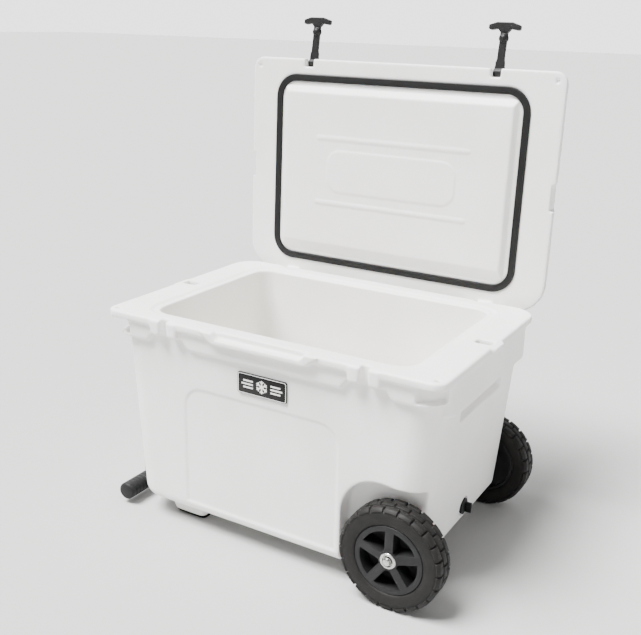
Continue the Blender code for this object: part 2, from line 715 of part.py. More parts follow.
def make_badge():
    front = -wall_at(BADGE_Z)[1] - GAP
    outline = rounded_rect(BADGE_WIDTH / 2, BADGE_HEIGHT / 2, BADGE_HEIGHT / 2, 0.004, 0.004, 3)
    lean = FRONT_DRAFT / (RIM_TOP - RIM_SLAB - BODY_BOTTOM)
    plate = prism('badge_plate', [(x, z + BADGE_Z) for x, z in outline],
                  front - BADGE_THICK, front, 'Y')
    shear = Matrix.Identity(4)
    shear[1][2] = -lean
    plate.data.transform(Matrix.Translation((0, 0, BADGE_Z)) @ shear
                         @ Matrix.Translation((0, 0, -BADGE_Z)))
    return dress(plate, 'badge_plate')


# ---------------------------------------------------------------- lid
def lid_upper(name, inset, low, high, round_off):
    """Upper part of the lid: rounded top edge, front corners cut for the padlock."""
    half_x, half_y = HALF_L - LID_STEP - inset, HALF_D - LID_STEP - inset
    radii = (RIM_FRONT_RADIUS, LID_BACK_RADIUS)
    sections = [(low, rounded_rect(half_x, half_y, half_y, *radii))]
    for i in range(3):
        angle = pi / 2 * i / 2
        back = round_off * (1 - cos(angle))
        z = high - round_off + round_off * sin(angle)
        sections.append((z, rounded_rect(half_x - back, half_y - back, half_y - back,
                                         radii[0] - back, radii[1] - back)))
    return loft(name, sections)


def lock_cut(name, side, grow=0.0):
    low, high = sorted((side * (HALF_L - LOCK_STEP_X - grow), side * (HALF_L + 0.02)))
    return box(name, (low, high), (-HALF_D - 0.02, -HALF_D + LOCK_STEP_Y + grow),
               (LID_UNDER + LID_LIP - grow, LID_TOP + 0.02))


def lid_cuts(tag, grow):
    forms = []
    for side in (-1, 1):
        forms.append(lock_cut('lock%d%s' % (side, tag), side, grow))
        half = LATCH_SLOT / 2 + grow
        forms.append(box('latch%d%s' % (side, tag), (side * LATCH_X - half, side * LATCH_X + half),
                         (-HALF_D - 0.02, PIN_Y + STRAP_THICK / 2 + 0.004 + grow),
                         (LID_UNDER - 0.02, LID_TOP + 0.02)))
        low, high = sorted((side * (HALF_L - LID_STEP - 0.004 - grow), side * (HALF_L + 0.02)))
        forms.append(box('strap%d%s' % (side, tag), (low, high), (-0.027 - grow, 0.027 + grow),
                         (LID_UNDER - 0.02, LID_TOP + 0.02)))
    return forms


def lid_panel_form(name, inset, up):
    """Raised panel inside the lid, with sloped sides, from its tip up to z = up."""
    off = PANEL_GAP + inset
    half_x, front, back = TUB_LENGTH / 2 - off, TUB_FRONT - off, TUB_BACK - off
    tip_x, tip_front, tip_back = half_x - PANEL_SLOPE_X, front - PANEL_SLOPE_FRONT, back - PANEL_SLOPE_BACK
    tip = rounded_rect(tip_x, tip_front, tip_back, PANEL_RADIUS * 0.6, PANEL_RADIUS * 0.6)
    base = rounded_rect(half_x, front, back, PANEL_RADIUS, PANEL_RADIUS)
    return loft(name, [(LID_UNDER - PANEL_DROP + inset, tip), (LID_UNDER - 0.001 + inset, base), (up, base)])


def lid_foam_form(name, wall):
    foam = lid_upper(name, wall - 0.001, LID_UNDER + wall + 0.001, LID_TOP - wall, 0.008)
    add(foam, lid_panel_form(name + '_panel', wall, LID_UNDER + wall + 0.004))
    return cut(foam, *lid_cuts('_' + name, wall))


def make_lid_shell():
    low = LID_UNDER
    outline = rounded_rect(HALF_L, HALF_D, HALF_D, RIM_FRONT_RADIUS, LID_BACK_RADIUS)
    inner = rounded_rect(HALF_L - 0.002, HALF_D - 0.002, HALF_D - 0.002,
                         RIM_FRONT_RADIUS - 0.002, LID_BACK_RADIUS - 0.002)
    shell = loft('lid_shell', [(low, inner), (low + 0.002, outline), (low + LID_LIP - 0.003, outline),
                               (low + LID_LIP, inner)])
    add(shell, lid_upper('upper', 0.0, low + LID_LIP - 0.004, LID_TOP, 0.012),
        lid_panel_form('panel', 0.0, low + 0.006))
    pieces = [knuckle_solid('lk%d' % i, a, b, owner)
              for i, (a, b, owner) in enumerate(knuckle_ranges()) if owner == 'lid']
    add(shell, *pieces)
    cuts = lid_cuts('', 0.0)
    for side in (-1, 1):
        cuts.append(rod('padlock', LOCK_HOLE / 2, (side * LOCK_X, -LOCK_Y, low - 0.01),
                        (side * LOCK_X, -LOCK_Y, LID_TOP), 12))
        cuts.append(rod('rodhole', ROD_DIAMETER / 2 + GAP, (side * HINGE_X - 0.08, HINGE_Y, HINGE_Z),
                        (side * HINGE_X + 0.08, HINGE_Y, HINGE_Z), 12))
        cuts.append(rod('pinhole', PIN_DIAMETER / 2 + GAP,
                        (side * LATCH_X - PIN_LENGTH / 2 - GAP, PIN_Y, PIN_Z),
                        (side * LATCH_X + PIN_LENGTH / 2 + GAP, PIN_Y, PIN_Z), 12))
    cuts.append(gasket_ring('groove', GAP, low - 0.01, low + GASKET_GROOVE + GAP))
    cuts.append(rod('fill', LID_PORT + GAP, (0, HALF_D - 0.02, low + LID_THICK / 2),
                    (0, HALF_D + 0.02, low + LID_THICK / 2), 20))
    cut(shell, lid_foam_form('lid_cavity', LID_WALL), *cuts)
    return dress(shell, 'white_polyethylene')


def make_lid_foam():
    foam = lid_foam_form('lid_foam', LID_WALL + GAP)
    cut(foam, rod('fill', LID_PORT + GAP, (0, HALF_D - 0.021, LID_UNDER + LID_THICK / 2),
                  (0, HALF_D + 0.02, LID_UNDER + LID_THICK / 2), 20))
    return dress(foam, 'foam')


def make_lid_foam_plug():
    """Plug pressed into the fill hole in the lid's back edge."""
    back = HALF_D - LID_STEP - GAP
    z = LID_UNDER + LID_THICK / 2
    return dress(rod('lid_foam_plug', LID_PORT, (0, back - LID_PORT_DEPTH, z), (0, back, z), 20, 0.0005),
                 'white_polyethylene')


def gasket_ring(name, grow, low, high):
    """Flat rounded-rectangle ring that the gasket fills, grown on both edges."""
    middle = SEAT_WIDTH / 2
    outer, inner = middle + GASKET_WIDTH / 2 + grow, middle - GASKET_WIDTH / 2 - grow

    def edge(off):
        return rounded_rect(TUB_LENGTH / 2 + off, TUB_FRONT + off, TUB_BACK + off,
                            TUB_RADIUS + off, TUB_RADIUS + off)

    ring = loft(name, [(low, edge(outer)), (high, edge(outer))])
    return cut(ring, loft(name + '_in', [(low - 0.01, edge(inner)), (high + 0.01, edge(inner))]))


def make_gasket():
    low = LID_UNDER + GASKET_GROOVE - GASKET_HEIGHT - GASKET_GROOVE
    return dress(gasket_ring('lid_gasket', 0.0, low, LID_UNDER + GASKET_GROOVE), 'black_rubber')


def make_latch(name, side):
    """Rubber latch: eye, strap, ball and cross bar, drawn straight out from the lid."""
    x = side * LATCH_X
    wide, half, thick = EYE_WIDTH / 2, STRAP_WIDTH / 2, STRAP_THICK / 2
    eye = rod(name, thick, (x - wide, PIN_Y, PIN_Z), (x + wide, PIN_Y, PIN_Z), 12)
    strap = loft('strap', [
        (0.0, rounded_rect(wide, thick, thick, 0.003, 0.003, 2)),
        (STRAP_NECK / 2, rounded_rect(wide, thick, thick, 0.003, 0.003, 2)),
        (STRAP_NECK, rounded_rect(half, thick, thick, 0.003, 0.003, 2)),
        (TEE_REACH, rounded_rect(half * 0.8, thick * 0.8, thick * 0.8, 0.0025, 0.0025, 2))])
    out = Matrix.Translation((x, PIN_Y, PIN_Z)) @ Matrix.Rotation(radians(90), 4, 'X')
    strap.data.transform(out)
    profile = [(0, -BALL_RADIUS)]
    profile += [(BALL_RADIUS * cos(a), BALL_RADIUS * sin(a))
                for a in [radians(d) for d in (-60, -30, 0, 30, 60)]]
    profile += [(0, BALL_RADIUS)]
    ball = turn('ball', profile, (x, PIN_Y - BALL_REACH, PIN_Z), (0, 0, 1), 12)
    end = TEE_WIDTH / 2
    bar = turn('bar', [(0, -end), (TEE_RADIUS * 0.75, -end + 0.002), (TEE_RADIUS, -end + 0.010),
                       (TEE_RADIUS * 0.8, 0), (TEE_RADIUS, end - 0.010),
                       (TEE_RADIUS * 0.75, end - 0.002), (0, end)],
               (x, PIN_Y - TEE_REACH, PIN_Z), (1, 0, 0), 10)
    add(eye, strap, ball, bar)
    cut(eye, rod('pinhole', PIN_DIAMETER / 2 + GAP, (x - 0.03, PIN_Y, PIN_Z),
                 (x + 0.03, PIN_Y, PIN_Z), 12))
    return dress(eye, 'black_rubber')


def make_latch_pin(name, side):
    x = side * LATCH_X
    half = PIN_LENGTH / 2
    pin = rod(name, PIN_DIAMETER / 2, (x - half, PIN_Y, PIN_Z), (x + half, PIN_Y, PIN_Z), 12, 0.0005)
    return dress(pin, 'steel')


def make_hinge_rod(name, side):
    reach = 1.5 * KNUCKLE + RUN + HINGE_ROD_OVER
    pin = rod(name, ROD_DIAMETER / 2, (side * HINGE_X - reach, HINGE_Y, HINGE_Z),
              (side * HINGE_X + reach, HINGE_Y, HINGE_Z), 12, 0.0008)
    return dress(pin, 'steel')


# ---------------------------------------------------------------- drain
def make_drain_sleeve():
    """Tube from the sump through the foam to the end wall."""
    start, end = sump_end() + GAP, drain_seat() - GAP
    sleeve = tube('drain_sleeve', DRAIN_RADIUS + DRAIN_WALL, DRAIN_RADIUS, (start, 0, DRAIN_Z),
                  (end, 0, DRAIN_Z))
    return dress(sleeve, 'white_polyethylene')


def make_drain_plug():
    """Stem, flange and a winged head for the fingers."""
    face = drain_seat() + DRAIN_GASKET + 2 * GAP
    stem = DRAIN_RADIUS - RUN
    plug = turn('drain_plug', [(0, -DRAIN_STEM), (stem, -DRAIN_STEM), (stem, 0), (DRAIN_FLANGE, 0),
                               (DRAIN_FLANGE, 0.004), (DRAIN_GRIP, 0.006), (0, 0.006)],
                (face, 0, DRAIN_Z), (1, 0, 0))
    wing = box('wing', (face + 0.004, face + 0.018), (-0.003, 0.003),
               (DRAIN_Z - DRAIN_GRIP, DRAIN_Z + DRAIN_GRIP), 0.001)
    return dress(add(plug, wing), 'black_rubber')


def make_drain_gasket():
    low = drain_seat() + GAP
    ring = tube('drain_gasket', DRAIN_FLANGE - 0.001, DRAIN_RADIUS - RUN + GAP, (low, 0, DRAIN_Z),
                (low + DRAIN_GASKET, 0, DRAIN_Z))
    return dress(ring, 'black_rubber')


# ---------------------------------------------------------------- wheels
def make_wheel_rim(name, side):
    """Moulded rim: hub, five spokes with windows, and the barrel under the tyre."""
    barrel = WHEEL_RADIUS - TYRE_DEPTH
    face, back = TYRE_WIDTH / 2 - 0.002, -TYRE_WIDTH / 2 + 0.003
    web_out, web_in = face - 0.010, face - 0.022
    bore = BUSH_OUTER + GAP
    profile = [(bore, back + 0.006), (HUB_RADIUS, back + 0.006), (HUB_RADIUS, web_in),
               (barrel - 0.006, web_in), (barrel - 0.006, back), (barrel, back),
               (barrel, face), (barrel - 0.006, face), (barrel - 0.008, web_out),
               (HUB_RADIUS + 0.002, web_out), (HUB_RADIUS, face - 0.003),
               (bore, face - 0.003)]
    centre = Vector((WHEEL_X, side * (WHEEL_FACE - TYRE_WIDTH / 2), WHEEL_RADIUS))
    rim = turn(name, profile, centre, (0, side, 0), WHEEL_STEPS)
    cuts = []
    inner, outer = HUB_RADIUS + 0.007, barrel - 0.0115
    for i in range(SPOKES):
        middle = 2 * pi * (i + 0.5) / SPOKES + pi / 2
        wide_in, wide_out = 0.30, 0.44
        points = [(inner * cos(middle + a), inner * sin(middle + a))
                  for a in (wide_in, 0, -wide_in)]
        points += [(outer * cos(middle + a), outer * sin(middle + a))
                   for a in (-wide_out, -wide_out / 2, 0, wide_out / 2, wide_out)]
        points = [(WHEEL_X + a, WHEEL_RADIUS + b) for a, b in points]
        low, high = sorted((centre.y - side * 0.03, centre.y + side * 0.03))
        cuts.append(prism('window%d' % i, points, low, high, 'Y'))
    return dress(cut(rim, *cuts), 'charcoal_nylon')


def make_tyre(name, side):
    """Solid tyre with rounded shoulders."""
    inner = WHEEL_RADIUS - TYRE_DEPTH + GAP
    half = TYRE_WIDTH / 2
    r = WHEEL_RADIUS
    profile = [(inner, -half + 0.002), (inner + 0.004, -half), (r - 0.016, -half + 0.0005),
               (r - 0.006, -half + 0.004), (r - 0.0008, -half + 0.012), (r, 0),
               (r - 0.0008, half - 0.012), (r - 0.006, half - 0.004), (r - 0.016, half - 0.0005),
               (inner + 0.004, half), (inner, half - 0.002)]
    centre = (WHEEL_X, side * (WHEEL_FACE - half), WHEEL_RADIUS)
    return dress(turn(name, profile, centre, (0, side, 0), WHEEL_STEPS), 'tyre_rubber')


def make_wheel_bush(name, side):
    centre = side * (WHEEL_FACE - TYRE_WIDTH / 2)
    half = TYRE_WIDTH / 2 - 0.005
    bush = tube(name, BUSH_OUTER, AXLE_DIAMETER / 2 + RUN / 2, (WHEEL_X, centre - half, WHEEL_RADIUS),
                (WHEEL_X, centre + half, WHEEL_RADIUS))
    return dress(bush, 'white_polyethylene')


def make_axle(name, side):
    """Stub axle with a collar that seats against the socket."""
    inner = WELL_INNER - SOCKET_DEPTH + 0.002
    outer = WHEEL_FACE + 0.004
    collar = WELL_INNER + AXLE_COLLAR_OUT
    r = AXLE_DIAMETER / 2
    thick = AXLE_COLLAR
    profile = [(0, 0), (r, 0), (r, collar - inner), (r + 0.006, collar - inner),
               (r + 0.006, collar + thick - inner), (r, collar + thick - inner),
               (r, outer - inner - 0.001), (r - 0.001, outer - inner), (0, outer - inner)]
    return dress(turn(name, profile, (WHEEL_X, side * inner, WHEEL_RADIUS), (0, side, 0)), 'steel')


def make_socket(name, side):
    """Flanged tube moulded into the body, which holds a stub axle."""
    bore = AXLE_DIAMETER / 2 + GAP
    length = SOCKET_DEPTH
    profile = [(bore, 0), (SOCKET_RADIUS, 0), (SOCKET_RADIUS, length + GAP),
               (SOCKET_RADIUS + 0.008, length + GAP), (SOCKET_RADIUS + 0.008, length + 0.003),
               (bore, length + 0.003)]
    return dress(turn(name, profile, (WHEEL_X, side * (WELL_INNER - length), WHEEL_RADIUS),
                      (0, side, 0)), 'steel')


def make_axle_washer(name, side):
    """Washer between the axle's collar and the wheel."""
    start = WELL_INNER + AXLE_COLLAR_OUT + AXLE_COLLAR + GAP
    washer = tube(name, 0.0145, AXLE_DIAMETER / 2 + GAP, (WHEEL_X, side * start, WHEEL_RADIUS),
                  (WHEEL_X, side * (start + 0.002), WHEEL_RADIUS))
    return dress(washer, 'steel')


def make_axle_cap(name, side):
    """Push-on cap that keeps the wheel on its axle."""
    r = AXLE_DIAMETER / 2
    face = WHEEL_FACE - 0.0044
    profile = [(r + GAP, 0), (HUB_RADIUS, 0), (HUB_RADIUS - 0.0005, 0.003), (r + 0.004, 0.0065),
               (r + 0.002, 0.0105), (0, 0.0105), (0, 0.0087), (r + GAP, 0.0087)]
    return dress(turn(name, profile, (WHEEL_X, side * face, WHEEL_RADIUS), (0, side, 0)), 'steel')


# ---------------------------------------------------------------- feet
def foot_screws(tag, grow, hole):
    """Screws up through the feet into the body."""
    made = []
    for side in (-1, 1):
        name = 'foot_screw_' + ('front' if side < 0 else 'rear')
        if hole:
            name = tag + str(side)
        low = 0.006
        profile = [(0, 0), (0.006 + grow, 0), (0.006 + grow, 0.004), (0.0025 + grow, 0.004),
                   (0.0025 + grow, BODY_BOTTOM + WALL + 0.010 - low + grow),
                   (0, BODY_BOTTOM + WALL + 0.010 - low + grow)]
        if hole:
            profile[0] = (0, -0.03)
            profile[1] = (0.006 + grow, -0.03)
        made.append(turn(name, profile, (FOOT_X, side * FOOT_Y, low), (0, 0, 1), 10))
    return made


def make_foot(name, side):
    """Rubber foot, narrower where it meets the floor."""
    def outline(grow):
        points = rounded_rect(FOOT_LENGTH / 2 + grow, FOOT_WIDTH / 2 + grow, FOOT_WIDTH / 2 + grow,
                              0.010, 0.010, 3)
        return [(x + FOOT_X, y + side * FOOT_Y) for x, y in points]

    foot = loft(name, [(0.0, outline(-0.004)), (0.004, outline(-0.001)),
                       (BODY_BOTTOM - GAP, outline(0.0))])
    return foot


def make_feet():
    holes = foot_screws('fh', GAP, True)
    feet = []
    for side, hole in zip((-1, 1), holes):
        foot = make_foot('foot_' + ('front' if side < 0 else 'rear'), side)
        feet.append(dress(cut(foot, hole), 'black_rubber'))
    return feet


# ---------------------------------------------------------------- handle
def bracket_screws(tag, grow, hole):
    """Two screws above and below each pivot, into the end wall."""
    made = []
    for side in (-1, 1):
        for way in (-1, 1):
            word = ('front' if side < 0 else 'rear') + ('_low' if way < 0 else '_high')
            name = tag + word if hole else 'bracket_screw_' + word
            back = bracket_back()
            plate = 0.004
            z = PIVOT_Z + way * (BRACKET_HEIGHT / 2 - 0.005)
            profile = [(0, 0), (0.002 + grow, 0), (0.002 + grow, 0.018 + plate - grow),
                       (0.0038 + grow, 0.018 + plate - grow), (0.0038 + grow, 0.0205 + plate),
                       (0, 0.0205 + plate)]
            made.append(turn(name, profile, (-back + 0.018 + GAP * 2, side * ARM_Y, z), (-1, 0, 0), 8))
    return made


def make_bracket(name, side):
    """Back plate with two cheeks that carry the pivot bolt."""
    back = -bracket_back()
    half = BRACKET_WIDTH / 2
    plate = box(name, (back - 0.004, back), (side * ARM_Y - half, side * ARM_Y + half),
                (PIVOT_Z - BRACKET_HEIGHT / 2, PIVOT_Z + BRACKET_HEIGHT / 2))
    eye = 0.0095
    outline = [(back - 0.001, PIVOT_Z - eye * 1.3)]
    outline += arc(PIVOT_X, PIVOT_Z, eye, 1.5 * pi, 0.5 * pi, 8)
    outline += [(back - 0.001, PIVOT_Z + eye * 1.3)]
    for way in (-1, 1):
        edge = side * ARM_Y + way * half
        low, high = sorted((edge, edge - way * BRACKET_CHEEK))
        add(plate, prism('cheek%d' % way, outline, low, high, 'Y'))
    cut(plate, rod('bore', PIVOT_BOLT / 2 + GAP, (PIVOT_X, side * ARM_Y - 0.05, PIVOT_Z),
                   (PIVOT_X, side * ARM_Y + 0.05, PIVOT_Z), 20))
    for screw in bracket_screws('bh', GAP, True):
        if screw.location.y == 0 and (side < 0) == ('front' in screw.name):
            cut(plate, screw)
        else:
            bpy.data.objects.remove(screw, do_unlink=True)
    return dress(plate, 'aluminium')


def make_arm(name, side):
    """Cast arm with an eye for the pivot bush and an eye for the cross tube."""
    top, foot = Vector((PIVOT_X, PIVOT_Z)), Vector((GRIP_X, GRIP_Z))
    upper = PIVOT_BOLT / 2 + BUSH_WALL + 0.0045
    lower = CORE_RADIUS + 0.005
    low, high = side * ARM_Y - ARM_THICK / 2, side * ARM_Y + ARM_THICK / 2
    down = foot - top
    angle = atan2(down.y, down.x)
    outline = []
    for centre, radius, turned in ((top, upper, 0), (foot, lower, pi)):
        corner = asin(ARM_WIDTH / 2 / radius)
        outline += arc(centre.x, centre.y, radius, angle + turned + corner,
                       angle + turned + 2 * pi - corner, 12)
    arm = prism(name, outline, low, high, 'Y')
    cut(arm, rod('bushbore', PIVOT_BOLT / 2 + BUSH_WALL + GAP, (PIVOT_X, low - 0.01, PIVOT_Z),
                 (PIVOT_X, high + 0.01, PIVOT_Z)),
        rod('tubebore', CORE_RADIUS + GAP, (GRIP_X, low - 0.01, GRIP_Z), (GRIP_X, high + 0.01, GRIP_Z), 20))
    return dress(arm, 'aluminium')


def make_pivot_bush(name, side):
    half = ARM_THICK / 2
    bush = tube(name, PIVOT_BOLT / 2 + BUSH_WALL, PIVOT_BOLT / 2 + GAP,
                (PIVOT_X, side * ARM_Y - half, PIVOT_Z), (PIVOT_X, side * ARM_Y + half, PIVOT_Z))
    return dress(bush, 'charcoal_nylon')


def make_pivot_bolt(name, side):
    """Bolt through both cheeks, head outboard and nut inboard."""
    half = BRACKET_WIDTH / 2 + GAP
    r = PIVOT_BOLT / 2
    head = 0.0035
    profile = [(0, -half - head), (r + 0.003, -half - head), (r + 0.003, -half), (r, -half),
               (r, half), (r + 0.003, half), (r + 0.003, half + head), (0, half + head)]
    return dress(turn(name, profile, (PIVOT_X, side * ARM_Y, PIVOT_Z), (0, side, 0), 12), 'steel')


def make_grip_core():
    half = GRIP_LENGTH / 2 - 0.006
    core = tube('grip_core_tube', CORE_RADIUS, CORE_RADIUS - CORE_WALL,
                (GRIP_X, -half, GRIP_Z), (GRIP_X, half, GRIP_Z))
    return dress(core, 'aluminium')


def make_grip_sleeve():
    half = ARM_Y - ARM_THICK / 2 - GAP
    inner, outer, edge = CORE_RADIUS + GAP, GRIP_RADIUS, 0.002
    profile = [(inner, -half), (outer - edge, -half), (outer, -half + edge), (outer, half - edge),
               (outer - edge, half), (inner, half)]
    return dress(turn('grip_sleeve', profile, (GRIP_X, 0, GRIP_Z), (0, 1, 0)), 'black_rubber')


def make_grip_end(name, side):
    """Rubber end of the grip, closed over the cross tube."""
    start = ARM_Y + ARM_THICK / 2 + GAP
    length = GRIP_LENGTH / 2 - start
    inner, outer, edge = CORE_RADIUS + GAP, GRIP_RADIUS, 0.003
    deep = GRIP_LENGTH / 2 - 0.006 + GAP - start
    profile = [(inner, 0), (outer - 0.002, 0), (outer, 0.002), (outer, length - edge),
               (outer - edge, length), (0, length), (0, deep), (inner, deep)]
    return dress(turn(name, profile, (GRIP_X, side * start, GRIP_Z), (0, side, 0)), 'black_rubber')


# ---------------------------------------------------------------- assembly
def build():
    clear_scene()
    fixed = [make_body_shell(), make_body_foam(), make_body_foam_plug(), make_badge(),
             make_drain_sleeve()]
    fixed += make_feet()
    fixed += [dress(screw, 'steel') for screw in foot_screws('', 0.0, False)]
    fixed += [dress(screw, 'steel') for screw in bracket_screws('', 0.0, False)]

    lid = axis_empty('lid_axis', (0, HINGE_Y, HINGE_Z))
    for piece in (make_lid_shell(), make_lid_foam(), make_lid_foam_plug(), make_gasket()):
        hang(piece, lid)
    handle = axis_empty('handle_axis', (PIVOT_X, 0, PIVOT_Z))
    for piece in (make_grip_core(), make_grip_sleeve()):
        hang(piece, handle)
    drain = axis_empty('drain_axis', (drain_seat(), 0, DRAIN_Z))
    hang(make_drain_plug(), drain)
    hang(make_drain_gasket(), drain)

    for side, word in ((-1, 'left'), (1, 'right')):
        pin = axis_empty('latch_axis_' + word, (side * LATCH_X, PIN_Y, PIN_Z), lid)
        hang(make_latch('latch_' + word, side), pin)
        pin.rotation_euler = (-LATCH_LEAN, 0, 0)
        hang(make_latch_pin('latch_pin_' + word, side), lid)
        fixed.append(make_hinge_rod('hinge_rod_' + word, side))
    for side, word in ((-1, 'front'), (1, 'rear')):
        wheel = axis_empty('wheel_axis_' + word,
                           (WHEEL_X, side * (WHEEL_FACE - TYRE_WIDTH / 2), WHEEL_RADIUS))
        for piece in (make_wheel_rim('wheel_rim_' + word, side), make_tyre('wheel_tyre_' + word, side),
                      make_wheel_bush('wheel_bush_' + word, side)):
            hang(piece, wheel)
        fixed += [make_axle('axle_' + word, side), make_socket('axle_socket_' + word, side),
                  make_axle_washer('axle_washer_' + word, side), make_axle_cap('axle_cap_' + word, side),
                  make_bracket('handle_bracket_' + word, side), make_pivot_bolt('pivot_bolt_' + word, side)]
        for piece in (make_arm('handle_arm_' + word, side), make_pivot_bush('pivot_bush_' + word, side),
                      make_grip_end('grip_end_' + word, side)):
            hang(piece, handle)

    lid.rotation_euler = (-LID_OPEN, 0, 0)
    stand_on_origin()


def stand_on_origin():
    """Move everything so the bounding box's bottom centre is the origin."""
    bpy.context.view_layer.update()
    meshes = [o for o in bpy.data.objects if o.type == 'MESH']
    corners = [o.matrix_world @ v.co for o in meshes for v in o.data.vertices]
    low = Vector([min(c[i] for c in corners) for i in range(3)])
    high = Vector([max(c[i] for c in corners) for i in range(3)])
    shift = Vector((-(low.x + high.x) / 2, -(low.y + high.y) / 2, -low.z))
    for obj in bpy.data.objects:
        if obj.parent is None:
            obj.location += shift
    bpy.context.view_layer.update()
    print('shift', tuple(round(v, 6) for v in shift), 'size', tuple(round(v, 5) for v in high - low))


build()
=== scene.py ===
# %% Load the frame
import json
from math import cos, pi, radians, sin
import bpy
import bmesh
from mathutils import Matrix, Vector


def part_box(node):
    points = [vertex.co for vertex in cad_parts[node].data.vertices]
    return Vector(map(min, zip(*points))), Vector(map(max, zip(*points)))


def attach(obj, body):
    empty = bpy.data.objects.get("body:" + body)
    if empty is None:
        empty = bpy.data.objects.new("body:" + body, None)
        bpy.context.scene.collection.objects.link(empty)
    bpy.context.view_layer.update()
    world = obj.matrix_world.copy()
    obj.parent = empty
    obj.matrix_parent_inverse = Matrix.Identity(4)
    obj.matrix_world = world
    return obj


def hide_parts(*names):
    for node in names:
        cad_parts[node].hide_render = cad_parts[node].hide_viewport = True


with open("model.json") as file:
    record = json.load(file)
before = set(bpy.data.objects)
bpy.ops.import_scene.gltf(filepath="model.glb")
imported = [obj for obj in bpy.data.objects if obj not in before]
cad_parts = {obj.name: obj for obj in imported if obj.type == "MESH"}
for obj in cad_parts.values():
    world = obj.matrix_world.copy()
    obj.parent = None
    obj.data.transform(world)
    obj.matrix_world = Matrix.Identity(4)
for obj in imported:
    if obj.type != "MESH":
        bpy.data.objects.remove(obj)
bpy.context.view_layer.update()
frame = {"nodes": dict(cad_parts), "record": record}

# %% [markdown]
# The cooler is rotomoulded: polyethylene powder melts onto the inside of a hot
# turning mould, so the skin is thick, every edge is softly rounded, and flat
# walls have a faint orange peel.  The places come from the frame: the lid's box
# gives the middle of the rim, the wheel axes give the middle from front to rear.

# %% Places read from the frame
joints = {j["name"]: j for j in frame["record"]["behaviour"]["joints"]}
lid_low, lid_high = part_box("lid_shell")
half_l = (lid_high[0] - lid_low[0]) / 2
hinge = Vector(joints["lid_hinge"]["pos_m"])
lid_open = radians(joints["lid_hinge"]["range_deg"][0])
wheel_y = [joints["wheel_%s_spin" % end]["pos_m"][1] for end in ("front", "rear")]
middle = Vector(((lid_low[0] + lid_high[0]) / 2, sum(wheel_y) / 2, 0))
rim_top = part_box("body_shell")[1][2]
body_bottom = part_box("body_shell")[0][2]
half_d = hinge.y - middle.y - 0.0015
print("rim half length %.4f half depth %.4f top %.4f" % (half_l, half_d, rim_top))


# %% [markdown]
# A few helpers keep the shaping short.  A block is a cube with drafted sides;
# its upright edges are bevelled first and its bottom edge after that, which is
# how the corner of a real tub runs into its floor.

# %% Shaping helpers
def bevel(bm, edges, offset, segments):
    bmesh.ops.bevel(bm, geom=edges, offset=offset, offset_type='OFFSET', segments=segments,
                    profile=0.5, affect='EDGES', clamp_overlap=True, material=-1)


def upright(edge):
    way = edge.verts[1].co - edge.verts[0].co
    return abs(way.z) > 0.6 * way.length


def rim_edges(bm, z):
    """Edges of the flat face at one height, where it meets the sides."""
    return [e for e in bm.edges if all(abs(v.co.z - z) < 1e-4 for v in e.verts)
            and any(abs(f.normal.z) < 0.9 for f in e.link_faces)]


def block(x, y, z, front=0.0, back=0.0, low_edge=0.0, high_edge=0.0, draft=(0, 0, 0, 0), steps=8):
    """Drafted block: front and back round its upright edges, low_edge and high_edge its
    bottom and top, and draft is how far the bottom stands in at -X, +X, -Y and +Y."""
    bm = bmesh.new()
    bmesh.ops.create_cube(bm, size=1.0)
    for v in bm.verts:
        right, rear, high = (c > 0 for c in v.co)
        v.co = Vector((x[right], y[rear], z[high]))
        if not high:
            v.co.x += -draft[1] if right else draft[0]
            v.co.y += -draft[3] if rear else draft[2]
    middle_y = (y[0] + y[1]) / 2
    for radius, near in ((front, True), (back, False)):
        if radius:
            edges = [e for e in bm.edges if upright(e) and (e.verts[0].co.y < middle_y) == near]
            bevel(bm, edges, radius, steps)
    bm.normal_update()
    if low_edge:
        bevel(bm, rim_edges(bm, z[0]), low_edge, 5)
        bm.normal_update()
    if high_edge:
        bevel(bm, rim_edges(bm, z[1]), high_edge, 5)
    return bm


def outline_block(points, low, high, axis, edge=0.0, steps=3):
    """Closed outline extruded along X, Y or Z, with its long edges rounded."""
    spot = {'X': lambda a, b, c: (c, a, b), 'Y': lambda a, b, c: (a, c, b),
            'Z': lambda a, b, c: (a, b, c)}[axis]
    bm = bmesh.new()
    face = bm.faces.new([bm.verts.new(spot(a, b, low)) for a, b in points])
    out = bmesh.ops.extrude_face_region(bm, geom=[face])
    moved = [v for v in out["geom"] if isinstance(v, bmesh.types.BMVert)]
    bmesh.ops.translate(bm, vec=Vector(spot(0, 0, high - low)), verts=moved)
    bmesh.ops.recalc_face_normals(bm, faces=bm.faces)
    if edge:
        bevel(bm, bm.edges[:], edge, steps)
    return bm


def spin(profile, centre, axis, steps=64):
    """Closed profile of (radius, along) points turned about an axis through centre."""
    bm = bmesh.new()
    verts = [bm.verts.new((r, 0, h)) for r, h in profile]
    edges = [bm.edges.new(pair) for pair in zip(verts, verts[1:] + verts[:1])]
    bmesh.ops.spin(bm, geom=verts + edges, cent=(0, 0, 0), axis=(0, 0, 1), angle=2 * pi,
                   steps=steps, use_merge=True)
    bmesh.ops.remove_doubles(bm, verts=bm.verts, dist=1e-6)
    bmesh.ops.delete(bm, geom=[e for e in bm.edges if e.is_wire], context='EDGES')
    bmesh.ops.recalc_face_normals(bm, faces=bm.faces)
    turned = Vector((0, 0, 1)).rotation_difference(Vector(axis)).to_matrix().to_4x4()
    bmesh.ops.transform(bm, matrix=Matrix.Translation(centre) @ turned, verts=bm.verts)
    return bm


def piece(name, bm):
    """Object made from a bmesh, with its faces pointing outwards."""
    bmesh.ops.recalc_face_normals(bm, faces=bm.faces)
    mesh = bpy.data.meshes.new(name)
    bm.to_mesh(mesh)
    bm.free()
    obj = bpy.data.objects.new(name, mesh)
    bpy.context.scene.collection.objects.link(obj)
    return obj


